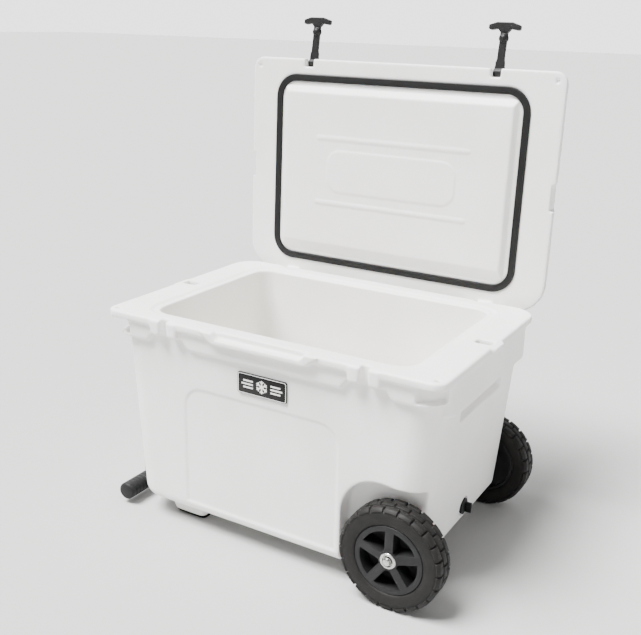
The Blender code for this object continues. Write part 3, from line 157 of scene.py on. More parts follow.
def settle(obj):
    """Apply a piece's modifiers."""
    bpy.context.view_layer.update()
    graph = bpy.context.evaluated_depsgraph_get()
    mesh = bpy.data.meshes.new_from_object(obj.evaluated_get(graph))
    obj.modifiers.clear()
    obj.data = mesh


def combine(obj, bms, operation):
    """Boolean a list of bmeshes into a piece, one after another."""
    for bm in bms:
        tool = piece("tool", bm)
        mod = obj.modifiers.new("cut", 'BOOLEAN')
        mod.operation, mod.solver, mod.object = operation, 'EXACT', tool
        settle(obj)
        bpy.data.objects.remove(tool, do_unlink=True)
    return obj


def as_bmesh(obj):
    """Turn a helper object back into a bmesh and remove it."""
    bm = bmesh.new()
    bm.from_mesh(obj.data)
    bpy.data.objects.remove(obj, do_unlink=True)
    return bm


def soften(obj, voxel, passes, limit):
    """Melt a moulding's edges: even voxels, a few smoothing passes, then fewer faces."""
    remesh = obj.modifiers.new("remesh", 'REMESH')
    remesh.mode, remesh.voxel_size = 'VOXEL', voxel
    smooth = obj.modifiers.new("smooth", 'SMOOTH')
    smooth.factor, smooth.iterations = 0.5, passes
    settle(obj)
    count = len(obj.data.polygons) * 2
    if count > limit:
        thin = obj.modifiers.new("thin", 'DECIMATE')
        thin.ratio = limit / count
        settle(obj)


def smooth_shade(obj, angle=40):
    """Smooth shading, with edges that turn by more than the angle left sharp."""
    obj.data.shade_smooth()
    obj.data.set_sharp_from_angle(angle=radians(angle))


def place(obj, matrix=None):
    """Bake a piece drawn about the tub's middle into the frame."""
    obj.data.transform(Matrix.Translation(middle))
    if matrix:
        obj.data.transform(matrix)
    obj.data.update()
    return obj


def about(point, angle, axis='X'):
    """Turn about an axis through a point."""
    return Matrix.Translation(point) @ Matrix.Rotation(angle, 4, axis) @ Matrix.Translation(-point)


lid_turn = about(hinge, lid_open)
print("the lid stands open by %.1f degrees" % (-lid_open * 180 / pi))


# %% [markdown]
# Every finish is a node material.  One function turns an sRGB hex colour to
# linear, one adds a node with its settings and links, and each material is a
# short function named for what the real stuff is.

# %% Material helpers
def linear(code):
    parts = [int(code[i:i + 2], 16) / 255 for i in (1, 3, 5)]
    return [c / 12.92 if c <= 0.04045 else ((c + 0.055) / 1.055) ** 2.4 for c in parts] + [1.0]


def add(tree, kind, links=None, **settings):
    """Add a node: settings set attributes or sockets, links join named inputs to outputs."""
    node = tree.nodes.new("ShaderNode" + kind)
    for key, value in settings.items():
        if hasattr(node, key):
            setattr(node, key, value)
        else:
            node.inputs[key.replace("_", " ")].default_value = value
    for key, socket in (links or {}).items():
        tree.links.new(socket, node.inputs[key])
    return node


def material(name, **sockets):
    """Empty Principled material; returns it with its tree, shader and object coordinates."""
    mat = bpy.data.materials.new(name)
    mat.use_nodes = True
    tree = mat.node_tree
    shader = tree.nodes["Principled BSDF"]
    for key, value in sockets.items():
        shader.inputs[key.replace("_", " ")].default_value = value
    where = tree.nodes.new("ShaderNodeTexCoord").outputs["Object"]
    return mat, tree, shader, where


def ramp(tree, factor, low, high, low_at=0.0, high_at=1.0):
    """Blend of two colours between two values of a pattern."""
    node = add(tree, "ValToRGB", {"Fac": factor})
    node.color_ramp.elements[0].position, node.color_ramp.elements[0].color = low_at, low
    node.color_ramp.elements[1].position, node.color_ramp.elements[1].color = high_at, high
    return node.outputs["Color"]


def grey(value):
    return [value, value, value, 1.0]


def size(mm):
    """Noise scale whose blotches are about this many millimetres across."""
    return 1000.0 / mm


# %% [markdown]
# White rotomoulded polyethylene: warm white and slightly see-through at the
# skin, with an orange peel about 4 mm across and a much finer matt grain from
# the blasted mould.  Wide soft patches are a shade darker where hands have been.

# %% Polyethylene
def white_polyethylene():
    mat, tree, shader, where = material("white_rotomoulded_polyethylene", Roughness=0.42,
                                        IOR=1.5, Subsurface_Weight=0.06, Subsurface_Scale=0.004)
    peel = add(tree, "TexNoise", {"Vector": where}, Scale=size(4.0), Detail=3.0, Roughness=0.5)
    grain = add(tree, "TexNoise", {"Vector": where}, Scale=size(1.1), Detail=2.0)
    wide = add(tree, "TexNoise", {"Vector": where}, Scale=size(140), Detail=4.0)
    tint = ramp(tree, wide.outputs["Fac"], linear("#F1F0ED"), linear("#F7F6F4"), 0.35, 0.65)
    tree.links.new(tint, shader.inputs["Base Color"])
    rough = ramp(tree, grain.outputs["Fac"], grey(0.37), grey(0.50), 0.3, 0.7)
    tree.links.new(rough, shader.inputs["Roughness"])
    bump = add(tree, "Bump", {"Height": peel.outputs["Fac"]}, Strength=0.10, Distance=0.0012)
    fine = add(tree, "Bump", {"Height": grain.outputs["Fac"], "Normal": bump.outputs["Normal"]},
               Strength=0.06, Distance=0.0004)
    tree.links.new(fine.outputs["Normal"], shader.inputs["Normal"])
    return mat


# %% [markdown]
# The rubbers share one recipe and differ in colour, gloss and grain: a black
# base, a dusty paler bloom in broad patches, and a fine moulded grain.

# %% Rubbers and nylon
def black_polymer(name, dark, pale, rough, grain_mm, depth):
    mat, tree, shader, where = material(name, Roughness=rough, IOR=1.5, Specular_IOR_Level=0.3)
    bloom = add(tree, "TexNoise", {"Vector": where}, Scale=size(22), Detail=5.0, Roughness=0.6)
    tint = ramp(tree, bloom.outputs["Fac"], linear(dark), linear(pale), 0.35, 0.75)
    tree.links.new(tint, shader.inputs["Base Color"])
    grain = add(tree, "TexNoise", {"Vector": where}, Scale=size(grain_mm), Detail=3.0)
    gloss = ramp(tree, grain.outputs["Fac"], grey(rough - 0.07), grey(rough + 0.09), 0.3, 0.7)
    tree.links.new(gloss, shader.inputs["Roughness"])
    bump = add(tree, "Bump", {"Height": grain.outputs["Fac"]}, Strength=depth, Distance=0.0004)
    tree.links.new(bump.outputs["Normal"], shader.inputs["Normal"])
    return mat


# %% [markdown]
# Metals keep the default IOR.  Turned stainless has rings of fine scratches, so
# its grain is a noise squeezed along one axis; cast aluminium is duller.

# %% Metals
def turned_metal(name, colour, rough, stretch):
    mat, tree, shader, where = material(name, Metallic=1.0, Roughness=rough)
    stretched = add(tree, "Mapping", {"Vector": where})
    stretched.inputs["Scale"].default_value = stretch
    lines = add(tree, "TexNoise", {"Vector": stretched.outputs["Vector"]}, Scale=size(1.2),
                Detail=4.0)
    tint = ramp(tree, lines.outputs["Fac"], linear(colour), linear("#E9E9E6"), 0.25, 0.8)
    tree.links.new(tint, shader.inputs["Base Color"])
    gloss = ramp(tree, lines.outputs["Fac"], grey(rough - 0.06), grey(rough + 0.12), 0.3, 0.7)
    tree.links.new(gloss, shader.inputs["Roughness"])
    bump = add(tree, "Bump", {"Height": lines.outputs["Fac"]}, Strength=0.12, Distance=0.0002)
    tree.links.new(bump.outputs["Normal"], shader.inputs["Normal"])
    return mat


# %% [markdown]
# The foam core is poured polyurethane: straw yellow with open cells of about
# 1.5 mm, drawn here at 3 mm.  The badge is a black plate printed with white.

# %% Foam and badge
def poured_foam():
    mat, tree, shader, where = material("poured_polyurethane_foam", Roughness=0.95)
    cells = add(tree, "TexVoronoi", {"Vector": where}, Scale=size(3.0))
    tint = ramp(tree, cells.outputs["Distance"], linear("#B79A58"), linear("#E2CB8C"), 0.05, 0.6)
    tree.links.new(tint, shader.inputs["Base Color"])
    bump = add(tree, "Bump", {"Height": cells.outputs["Distance"]}, Strength=0.4, Distance=0.001)
    tree.links.new(bump.outputs["Normal"], shader.inputs["Normal"])
    return mat


shell_white = white_polyethylene()
latch_rubber = black_polymer("epdm_rubber_latch", "#0C0C0C", "#161616", 0.50, 1.2, 0.20)
seal_rubber = black_polymer("epdm_rubber_seal", "#060606", "#0C0C0C", 0.55, 1.5, 0.12)
grip_rubber = black_polymer("grip_rubber", "#0D0D0E", "#171718", 0.55, 1.3, 0.25)
foot_rubber = black_polymer("foot_rubber", "#101010", "#1B1A19", 0.70, 1.5, 0.25)
tyre_rubber = black_polymer("solid_tyre_rubber", "#0D0C0B", "#191715", 0.62, 1.6, 0.30)
rim_nylon = black_polymer("glass_filled_nylon", "#131314", "#1D1D1E", 0.48, 1.0, 0.22)
bush_nylon = black_polymer("natural_nylon", "#C9C7BE", "#D8D6CE", 0.45, 1.0, 0.10)
badge_black = black_polymer("badge_black_enamel", "#050505", "#0A0A0A", 0.45, 0.9, 0.05)
badge_white = black_polymer("badge_white_print", "#E6E6E4", "#F2F2F0", 0.40, 0.9, 0.04)
steel = turned_metal("turned_stainless_steel", "#A9A9A6", 0.24, (1, 14, 1))
aluminium = turned_metal("satin_aluminium", "#A7A9AC", 0.36, (1, 1, 10))
foam = poured_foam()
print(len(bpy.data.materials), "materials")


# %% [markdown]
# The body starts as one drafted block with rounded upright corners.  The rim
# slab, the skirt under it, the deeper skirts at the ends, the finger plate, the
# keeper posts and the hinge eyes are added; the tub, the wheel spaces, hand
# holds, slots and holes are cut away; then the whole moulding is softened.

# %% Body sizes
rim_slab, skirt_drop, end_drop, run = 0.015, 0.0515, 0.0795, 0.0008
end_inset, front_inset, end_draft, front_draft = 0.012, 0.0195, 0.031, 0.003
skirt_inset, flush_inset, lock_radius = 0.009, 0.0015, 0.0045
lock_x, lock_y = 0.337, -0.221
tub_half, tub_front, tub_back, tub_radius = 0.275, 0.190, 0.190, 0.034
tub_floor, shelf, shelf_start, tub_draft = 0.112, 0.262, 0.158, 0.012
seat_width, seat_drop = 0.017, 0.003
latch_x = joints["latch_right_swing"]["pos_m"][0] - middle.x
latch_gap, post_width = 0.0150, 0.0245
post_top, post_low = rim_top - 0.0025, rim_top - 0.0315
wheel_x = joints["wheel_front_spin"]["pos_m"][0] - middle.x
wheel_r = joints["wheel_front_spin"]["pos_m"][2]
well_start, well_top, well_inner, end_bottom = 0.167, 0.222, 0.186, 0.073
panel_depth = 0.0022
wall_high = rim_top - rim_slab
hinge_y, hinge_z = hinge.y - middle.y, hinge.z
wall_x, wall_y = half_l - end_inset, half_d - front_inset


def wall_at(z):
    """Half length and half depth of the drafted body at one height."""
    share = 1 - (z - body_bottom) / (wall_high - body_bottom)
    return wall_x - end_draft * share, wall_y - front_draft * share


# %% Body mass and skirts
def body_mass():
    bm = block((-wall_x, wall_x), (-wall_y, wall_y), (body_bottom, wall_high + 0.004), 0.055, 0.055,
               low_edge=0.020, draft=(end_draft, end_draft, front_draft, front_draft))
    obj = piece("body_moulding", bm)
    adds = [block((-half_l, half_l), (-half_d, half_d), (wall_high, rim_top), 0.024, 0.050,
                  low_edge=0.002, high_edge=0.004)]
    sx, sy = half_l - skirt_inset, half_d - skirt_inset
    skirt = piece("skirt", block((-sx, sx), (-sy, sy), (rim_top - skirt_drop, wall_high + 0.003),
                                 0.045, 0.045, low_edge=0.004))
    reliefs = []
    skirt_low = rim_top - skirt_drop
    for side in (-1, 1):
        bay = [(side * latch_x + x, z)
               for x, z in ((-0.050, skirt_low - 0.01), (-0.050, skirt_low - 0.001), (-0.034, post_low),
                            (0.034, post_low), (0.050, skirt_low - 0.001), (0.050, skirt_low - 0.01))]
        reliefs.append(outline_block(bay, -half_d - 0.02, -wall_y + 0.001, 'Y'))
        low, high = skirt_low + 0.004, wall_high + 0.01
        reliefs.append(spin([(0, low), (0.036, low), (0.036, high), (0, high)],
                            (side * 0.339, -0.224, 0), (0, 0, 1), 48))
    combine(skirt, reliefs, 'DIFFERENCE')
    adds.append(as_bmesh(skirt))
    for end in (-1, 1):
        x = sorted((end * (sx - 0.05), end * (half_l - flush_inset if end > 0 else sx)))
        adds.append(block(x, (-0.185, 0.185), (rim_top - end_drop, wall_high + 0.003), 0.022, 0.022,
                          low_edge=0.004))
        tab = sorted((end * (half_l - 0.03), end * (half_l + 0.007)))
        adds.append(block(tab, (-0.028, 0.028), (wall_high + 0.001, rim_top - 0.002), 0.010, 0.010,
                          low_edge=0.002, high_edge=0.003))
    return combine(obj, adds, 'UNION')


def arc(cx, cy, radius, start, end, steps):
    """Points on a circle from one angle to another."""
    return [(cx + radius * cos(start + (end - start) * i / steps),
             cy + radius * sin(start + (end - start) * i / steps)) for i in range(steps + 1)]


# %% [markdown]
# The finger plate is a thicker lip with a scoop cut behind it, so that fingers
# reach the lid's edge.  Each latch hangs between two keeper posts, and the ball
# on the strap is held under them.

# %% Front features
def front_adds():
    low = rim_top - 0.022
    plate = [(-0.125, rim_top - 0.001), (-0.110, low + 0.008), (-0.104, low + 0.002), (-0.096, low),
             (0.096, low), (0.104, low + 0.002), (0.110, low + 0.008), (0.125, rim_top - 0.001)]
    made = [outline_block(plate, -half_d - 0.004, -wall_y + 0.008, 'Y')]
    for side in (-1, 1):
        for way in (-1, 1):
            x = side * latch_x + way * (latch_gap + post_width) / 2
            made.append(block((x - post_width / 2, x + post_width / 2),
                              (-half_d - 0.0018, -wall_y + 0.004), (post_low, post_top), 0.005, 0.0,
                              low_edge=0.004, high_edge=0.002, steps=4))
    return made


def front_cuts():
    low, high = rim_top - 0.012, rim_top + 0.02
    scoop = [(-0.090, low), (0.090, low), (0.117, high), (-0.117, high)]
    made = [outline_block(scoop, -half_d - 0.02, -half_d + 0.0095, 'Y')]
    for side in (-1, 1):
        made.append(block((side * latch_x - latch_gap / 2, side * latch_x + latch_gap / 2),
                          (-half_d - 0.02, -half_d + 0.0142), (post_low - 0.001, rim_top + 0.02)))
        made.append(spin([(0, -0.04), (lock_radius, -0.04), (lock_radius, 0.02), (0, 0.02)],
                         (side * lock_x, lock_y, rim_top), (0, 0, 1), 24))
    left, right, bottom, top, radius = -0.180, 0.158, 0.060, 0.307, 0.040
    panel = [(left, bottom), (right, bottom)]
    panel += arc(right - radius, top - radius, radius, 0, pi / 2, 8)
    panel += arc(left + radius, top - radius, radius, pi / 2, pi, 8)
    field = outline_block(panel, -half_d - 0.02, -wall_y + panel_depth, 'Y')
    for v in field.verts:
        v.co.y += wall_y - wall_at(v.co.z)[1]
    made.append(field)
    return made


def foot_bosses():
    """The shell swells down round each foot, so that only the rubber's edge shows."""
    made = []
    for name in ("foot_front", "foot_rear"):
        low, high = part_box(name)
        x = (low[0] - middle.x - 0.012, high[0] - middle.x + 0.012)
        y = (low[1] - middle.y - 0.006, high[1] - middle.y + 0.006)
        made.append(block(x, y, (low[2] + 0.008, body_bottom + 0.004), 0.012, 0.012, low_edge=0.003,
                          draft=(0.012, 0.012, 0.002, 0.002)))
    return made


# %% Tub, wheel spaces and openings
def tub_cuts():
    over = rim_top + 0.03
    grow = tub_draft * (over - rim_top) / (rim_top - tub_floor)
    made = [block((-tub_half - grow, tub_half + grow), (-tub_front - grow, tub_back + grow), (shelf, over),
                  tub_radius, tub_radius, low_edge=0.010, draft=(tub_draft * 0.6,) * 4)]
    made.append(block((-tub_half + 0.005, shelf_start), (-tub_front + 0.005, tub_back - 0.005),
                      (tub_floor, shelf + 0.02), tub_radius, tub_radius, low_edge=0.012,
                      draft=(0.008,) * 4))
    made.append(block((-tub_half - seat_width, tub_half + seat_width),
                      (-tub_front - seat_width, tub_back + seat_width), (rim_top - seat_drop, over),
                      tub_radius + seat_width, tub_radius + seat_width))
    end, sump = shelf_start - 0.012, 0.090
    made.append(outline_block([(end - 0.08, tub_floor + 0.02), (end - 0.08, tub_floor - 0.0005),
                               (end, sump), (end, tub_floor + 0.02)], -0.022, 0.022, 'Y'))
    return made


def wheel_cuts():
    made = []
    far = half_l + 0.05
    radius = 0.075
    arch = [(far, -0.05), (far, well_top - 0.012), (wheel_x + 0.045, well_top - 0.006)]
    arch += arc(well_start + radius, well_top - radius, radius, pi / 2, pi, 12) + [(well_start, -0.05)]
    for side in (-1, 1):
        y = sorted((side * well_inner, side * (half_d + 0.05)))
        made.append(outline_block(arch, y[0], y[1], 'Y'))
    under = well_start + 0.012
    made.append(outline_block([(far, -0.05), (far, end_bottom), (under + 0.03, end_bottom), (under, -0.05)],
                              -half_d - 0.05, half_d + 0.05, 'Y'))
    return made


def end_cuts():
    made = []
    roof = rim_top - end_drop
    low = roof - 0.150
    wall, low_wall, far = wall_at(roof)[0], wall_at(low)[0], half_l + 0.05
    for end in (-1, 1):
        hold = [(end * far, roof), (end * (wall - 0.024), roof), (end * (wall - 0.024), roof - 0.025),
                (end * (wall - 0.0038), roof - 0.0415), (end * (low_wall + 0.0005), low), (end * far, low)]
        made.append(outline_block(hold, -0.100, 0.100, 'Y'))
        x = end * 0.331
        made.append(block((x - 0.015, x + 0.015), (-0.011, 0.011), (roof - 0.01, rim_top + 0.05),
                          0.003, 0.003))
    return made


# %% [markdown]
# Small fittings need their seats: the two bracket seats in the handle end, the
# round drain recess and its bore, the axle bores, the gaps for the lid's hinge
# eyes, the pin holes, the foam port underneath and the screw holes.

# %% Hinge eyes and fitting seats
eye_radius, eye_length, rod_hole = 0.0115, 0.030, 0.0043
hinge_x = (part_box("hinge_rod_right")[0][0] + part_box("hinge_rod_right")[1][0]) / 2 - middle.x


def eye_ranges(owner):
    """Where the eyes of the body or of the lid begin and end along the hinge line."""
    wanted = {'body': (-1, 1), 'lid': (0,)}[owner]
    centres = [side * hinge_x + turn * (eye_length + run) for side in (-1, 1) for turn in wanted]
    return [(x - eye_length / 2, x + eye_length / 2) for x in centres]


def body_eyes():
    made = []
    for low, high in eye_ranges('body'):
        points = arc(hinge_y, hinge_z, eye_radius, -pi / 2, pi / 2, 14)
        foot = half_d - 0.022
        points += [(foot, hinge_z + eye_radius), (foot, hinge_z - eye_radius - 0.022)]
        made.append(outline_block(points, low, high, 'X'))
    return made


def fitting_cuts():
    made = []
    for low, high in eye_ranges('lid'):
        made.append(block((low - run, high + run), (hinge_y - eye_radius - run, hinge_y + 0.05),
                          (hinge_z - eye_radius - run, rim_top + 0.02)))
    for name in ("handle_bracket_front", "handle_bracket_rear"):
        low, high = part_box(name)
        y = (low[1] - middle.y - run, high[1] - middle.y + run)
        made.append(block((-half_l - 0.05, high[0] - middle.x + 0.0003), y,
                          (low[2] - run, rim_top - end_drop + 0.001)))
    gasket_low, gasket_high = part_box("drain_gasket")
    radius = (gasket_high[2] - gasket_low[2]) / 2 + 0.005
    centre_z = (gasket_high[2] + gasket_low[2]) / 2
    seat = gasket_low[0] - middle.x - 0.0003
    bore = 0.0118
    made.append(spin([(0, 0), (radius, 0), (radius, 0.06), (0, 0.06)], (seat, 0, centre_z), (1, 0, 0), 40))
    made.append(spin([(0, -0.17), (bore, -0.17), (bore, 0.01), (0, 0.01)],
                     (seat, 0, centre_z), (1, 0, 0), 32))
    for side in (-1, 1):
        made.append(spin([(0, 0), (bore, 0), (bore, 0.08), (0, 0.08)],
                         (wheel_x, side * (well_inner - 0.0603), wheel_r), (0, side, 0), 32))
        made.append(spin([(0, -0.08), (rod_hole, -0.08), (rod_hole, 0.08), (0, 0.08)],
                         (side * hinge_x, hinge_y, hinge_z), (1, 0, 0), 24))
        made.append(spin([(0, -0.05), (0.0063, -0.05), (0.0063, 0.0), (0.0028, 0.0), (0.0028, 0.06),
                          (0, 0.06)], (-0.205, side * 0.160, 0.010), (0, 0, 1), 16))
    made.append(spin([(0, -0.01), (0.0143, -0.01), (0.0143, 0.012), (0, 0.012)],
                     (0, 0, body_bottom), (0, 0, 1), 32))
    return made


# %% Build the body
body = body_mass()
combine(body, front_adds() + body_eyes() + foot_bosses(), 'UNION')
combine(body, tub_cuts() + wheel_cuts() + end_cuts() + front_cuts(), 'DIFFERENCE')
soften(body, 0.0024, 5, 185000)
combine(body, fitting_cuts(), 'DIFFERENCE')
smooth_shade(place(body), 50)
body.data.materials.append(shell_white)
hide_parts("body_shell")
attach(body, "body")
print("body", len(body.data.polygons), "faces")

# %% [markdown]
# The lid is drawn shut, then turned about the hinge.  Its lower edge is a lip
# that runs all round; the upper part stands back a little with a wide rounding.
# The raised panel drops into the tub and carries two plain ribs.

# %% Lid sizes and mass
lid_under = rim_top + 0.0006
lid_top, lid_lip, lid_step, panel_drop = lid_under + 0.038, 0.014, 0.004, 0.011
pin = joints["latch_right_swing"]["pos_m"]
pin_place = lid_turn.inverted() @ Vector(pin)
pin_y, pin_z = pin_place.y - middle.y, pin_place.z
strap_thick, latch_slot = 0.0090, 0.0215
print("latch pin %.4f behind the lid's front edge" % (pin_y + half_d))


def lid_mass():
    bm = block((-half_l, half_l), (-half_d, half_d), (lid_under, lid_under + lid_lip), 0.024, 0.062,
               low_edge=0.003, high_edge=0.002)
    obj = piece("lid_moulding", bm)
    ux, uy = half_l - lid_step, half_d - lid_step
    adds = [block((-ux, ux), (-uy, uy), (lid_under + lid_lip - 0.004, lid_top), 0.024, 0.060,
                  high_edge=0.014)]
    gap, radius = 0.007, 0.030
    x, y = (-tub_half + gap, tub_half - gap), (-tub_front + gap, tub_back - gap)
    adds.append(block(x, y, (lid_under - panel_drop, lid_under), radius, radius,
                      draft=(0.009, 0.009, 0.0145, 0.024)))
    adds.append(block(x, y, (lid_under - 0.0004, lid_under + 0.006), radius, radius))
    for low, high in eye_ranges('lid'):
        points = arc(hinge_y, hinge_z, eye_radius, -pi, 0, 16)
        points += [(hinge_y + eye_radius, lid_under + 0.012), (hinge_y - eye_radius, lid_under + 0.012)]
        adds.append(outline_block(points, low, high, 'X'))
    return combine(obj, adds, 'UNION')


def lid_marks():
    """Two plain ribs and a plain rounded field between them."""
    flat = lid_under - panel_drop
    made = []
    for y in (-0.075, 0.066):
        made.append(block((-0.178, 0.178), (y - 0.004, y + 0.004), (flat - 0.0016, flat + 0.004),
                          0.003, 0.003, low_edge=0.001, steps=4))
    made.append(block((-0.150, 0.150), (-0.050, 0.041), (flat - 0.0016, flat + 0.004),
                      0.030, 0.030, low_edge=0.001))
    return made


def lid_cuts():
    made = []
    for side in (-1, 1):
        x = sorted((side * (half_l - 0.036), side * (half_l + 0.02)))
        made.append(block(x, (-half_d - 0.02, -half_d + 0.044), (lid_under + lid_lip, lid_top + 0.02),
                          0.0, 0.006))
        made.append(block((side * latch_x - latch_slot / 2, side * latch_x + latch_slot / 2),
                          (-half_d - 0.02, pin_y + strap_thick / 2 + 0.004),
                          (lid_under - 0.02, lid_top + 0.02)))
        x = sorted((side * (half_l - lid_step - 0.004), side * (half_l + 0.02)))
        made.append(block(x, (-0.027, 0.027), (lid_under - 0.02, lid_top + 0.02), 0.003, 0.003))
        for low, high in ((-0.02, 0.0045), (0.0098, 0.06)):
            made.append(spin([(0, low), (lock_radius, low), (lock_radius, high), (0, high)],
                             (side * lock_x, lock_y, lid_under), (0, 0, 1), 24))
    return made


def lid_bores():
    made = []
    for side in (-1, 1):
        made.append(spin([(0, -0.08), (rod_hole, -0.08), (rod_hole, 0.08), (0, 0.08)],
                         (side * hinge_x, hinge_y, hinge_z), (1, 0, 0), 24))
        made.append(spin([(0, -0.0152), (0.0028, -0.0152), (0.0028, 0.0152), (0, 0.0152)],
                         (side * latch_x, pin_y, pin_z), (1, 0, 0), 20))
    made.append(spin([(0, -0.02), (0.0083, -0.02), (0.0083, 0.02), (0, 0.02)],
                     (0, half_d, lid_under + 0.019), (0, 1, 0), 32))
    return made


# %% [markdown]
# The seal sits in a shallow groove round the panel.  It is a ring: an outer
# block less an inner one, with rounded shoulders, which matches an extruded
# rubber strip that is bent round and joined.

# %% Seal groove and seal
seal_width = 0.0145
seal_out, seal_in = (seat_width + seal_width) / 2, (seat_width - seal_width) / 2


def ring(outer, inner, low, high):
    """Band round the tub's edge, between two distances from it."""
    def edge(off, z):
        return block((-tub_half - off, tub_half + off), (-tub_front - off, tub_back + off), z,
                     tub_radius + off, tub_radius + off, steps=12)
    obj = piece("ring", edge(outer, (low, high)))
    combine(obj, [edge(inner, (low - 0.01, high + 0.01))], 'DIFFERENCE')
    return obj


# %% Build the lid
lid = lid_mass()
combine(lid, lid_marks(), 'UNION')
groove = ring(seal_out + 0.0009, seal_in - 0.0009, lid_under - 0.01, lid_under + 0.0023)
combine(lid, lid_cuts() + [as_bmesh(groove)], 'DIFFERENCE')
soften(lid, 0.0020, 4, 150000)
combine(lid, lid_bores(), 'DIFFERENCE')
smooth_shade(place(lid, lid_turn), 50)
lid.data.materials.append(shell_white)
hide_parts("lid_shell")
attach(lid, "lid")
print("lid", len(lid.data.polygons), "faces")

seal = ring(seal_out, seal_in, lid_under - 0.0030, lid_under + 0.0020)
seal.name = "seal_strip"
rounded = seal.modifiers.new("round", 'BEVEL')
rounded.width, rounded.segments = 0.0014, 3
rounded.limit_method, rounded.angle_limit = 'ANGLE', radians(60)
settle(seal)
smooth_shade(place(seal, lid_turn))
seal.data.materials.append(seal_rubber)
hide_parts("lid_gasket")
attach(seal, "lid")

# %% [markdown]
# Each latch is one rubber moulding: an eye round the pin, a strap that narrows,
# a ball that hooks under the posts, and a bar with drooping ends for the hand.
# It is drawn upright from simple solids and melted into one skin.

# %% Latches
ball_reach, tee_reach, tee_half, eye_half, pin_hole = 0.0655, 0.0890, 0.032, 0.0098, 0.0028


def latch_form():
    """Latch along +Z from its pin, its wide side facing Y."""
    obj = piece("latch", spin([(0, -eye_half), (0.0080, -eye_half), (0.0080, eye_half), (0, eye_half)],
                              (0, 0, 0), (1, 0, 0), 40))
    strap = bmesh.new()
    bmesh.ops.create_cube(strap, size=1.0)
    for v in strap.verts:
        high = v.co.z > 0
        wide, thick = 0.0086 if high else eye_half, strap_thick / 2
        v.co = Vector((wide if v.co.x > 0 else -wide, thick if v.co.y > 0 else -thick,
                       0.020 if high else 0.0))
    top = [f for f in strap.faces if all(v.co.z > 0.01 for v in f.verts)]
    for z, shrink in ((0.025, 0.82), (0.052, 0.99), (ball_reach, 1.0), (tee_reach, 1.10)):
        out = bmesh.ops.extrude_face_region(strap, geom=top)
        verts = [v for v in out["geom"] if isinstance(v, bmesh.types.BMVert)]
        for v in verts:
            v.co.x, v.co.z = v.co.x * shrink, z
        bmesh.ops.delete(strap, geom=top, context='FACES_ONLY')
        top = [f for f in out["geom"] if isinstance(f, bmesh.types.BMFace)]
    ball = spin([(0, -0.0095)] + arc(0, 0, 0.0098, radians(-75), radians(75), 12) + [(0, 0.0095)],
                (0, 0, ball_reach), (0, 0, 1), 40)
    bar = [(-tee_half, -0.0066), (-tee_half + 0.004, -0.0082), (-0.013, -0.0058), (-0.0082, -0.012),
           (0.0082, -0.012), (0.013, -0.0058), (tee_half - 0.004, -0.0082), (tee_half, -0.0066),
           (tee_half, 0.0014), (0.016, 0.0066), (-0.016, 0.0066), (-tee_half, 0.0014)]
    handle = outline_block([(a, b + tee_reach) for a, b in bar], -0.0058, 0.0058, 'Y', 0.0012, 2)
    combine(obj, [strap, ball, handle], 'UNION')
    soften(obj, 0.00065, 4, 30000)
    combine(obj, [spin([(0, -0.02), (pin_hole, -0.02), (pin_hole, 0.02), (0, 0.02)],
                       (0, 0, 0), (1, 0, 0), 24)], 'DIFFERENCE')
    return obj


lean = radians(-9.2)    # at rest a latch stands up from the raised lid's edge and leans back
for word in ("left", "right"):
    latch = latch_form()
    latch.name = "latch_moulding_" + word
    pin_at = Vector(joints["latch_%s_swing" % word]["pos_m"])
    latch.data.transform(Matrix.Translation(pin_at) @ Matrix.Rotation(lean, 4, 'X'))
    smooth_shade(latch, 60)
    latch.data.materials.append(latch_rubber)
    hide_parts("latch_" + word)
    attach(latch, "latch_" + word)

# %% [markdown]
# The solid tyre has a rounded carcass with raised lugs.  The profile is spun in
# rows of quads; pairs of quads are inset and lifted as lugs, each row half a
# lug on from the last, so the blocks are staggered.

# %% Tyres
tyre_low, tyre_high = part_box("wheel_tyre_front")
tyre_width = tyre_high[1] - tyre_low[1]
lug, tyre_depth, tyre_steps = 0.0036, 0.033, 44


def around(point):
    """Angle of a point about the tyre's axis, from 0 to a full turn."""
    return -Vector((1, 0)).angle_signed(point.xy, 0.0) % (2 * pi)


def tyre_bmesh():
    half, r, inner = tyre_width / 2, wheel_r - lug, wheel_r - tyre_depth + 0.0003
    side = [(inner, -half + 0.004), (inner + 0.002, -half + 0.0018), (inner + 0.006, -half + 0.0004),
            (r - 0.0100, -half + 0.0002), (r - 0.0062, -half + 0.0010)]
    crown = [(r - 0.0006, -half + 0.0062), (r, -0.0080), (r, 0.0080), (r - 0.0006, half - 0.0062)]
    profile = side + crown + [(a, -b) for a, b in reversed(side)]
    bm = spin(profile, (0, 0, 0), (0, 0, 1), tyre_steps)
    rows = {}
    for f in bm.faces:
        c = f.calc_center_median()
        radius = (c.x ** 2 + c.y ** 2) ** 0.5
        if radius > r - 0.0060:
            step = int(around(c) / (2 * pi) * tyre_steps) % tyre_steps
            rows.setdefault(round(c.z, 4), {})[step] = f
    heights = sorted(rows)
    for k, band in enumerate((heights[:2], heights[2:3], heights[3:])):
        for i in range(0, tyre_steps, 2):
            blocks = [rows[z][(i + k % 2 + j) % tyre_steps] for z in band for j in (0, 1)]
            bmesh.ops.inset_region(bm, faces=blocks, thickness=0.0013, depth=0.0, use_even_offset=True)
            bmesh.ops.inset_region(bm, faces=blocks, thickness=0.0007, depth=lug, use_even_offset=True)
    return bm


def wheel_place(word, side):
    """Move from a wheel drawn about +Z to its place, with that face outwards."""
    low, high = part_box("wheel_tyre_" + word)
    centre = [(a + b) / 2 for a, b in zip(low, high)]
    return Matrix.Translation(centre) @ Matrix.Rotation(radians(-90 * side), 4, 'X')


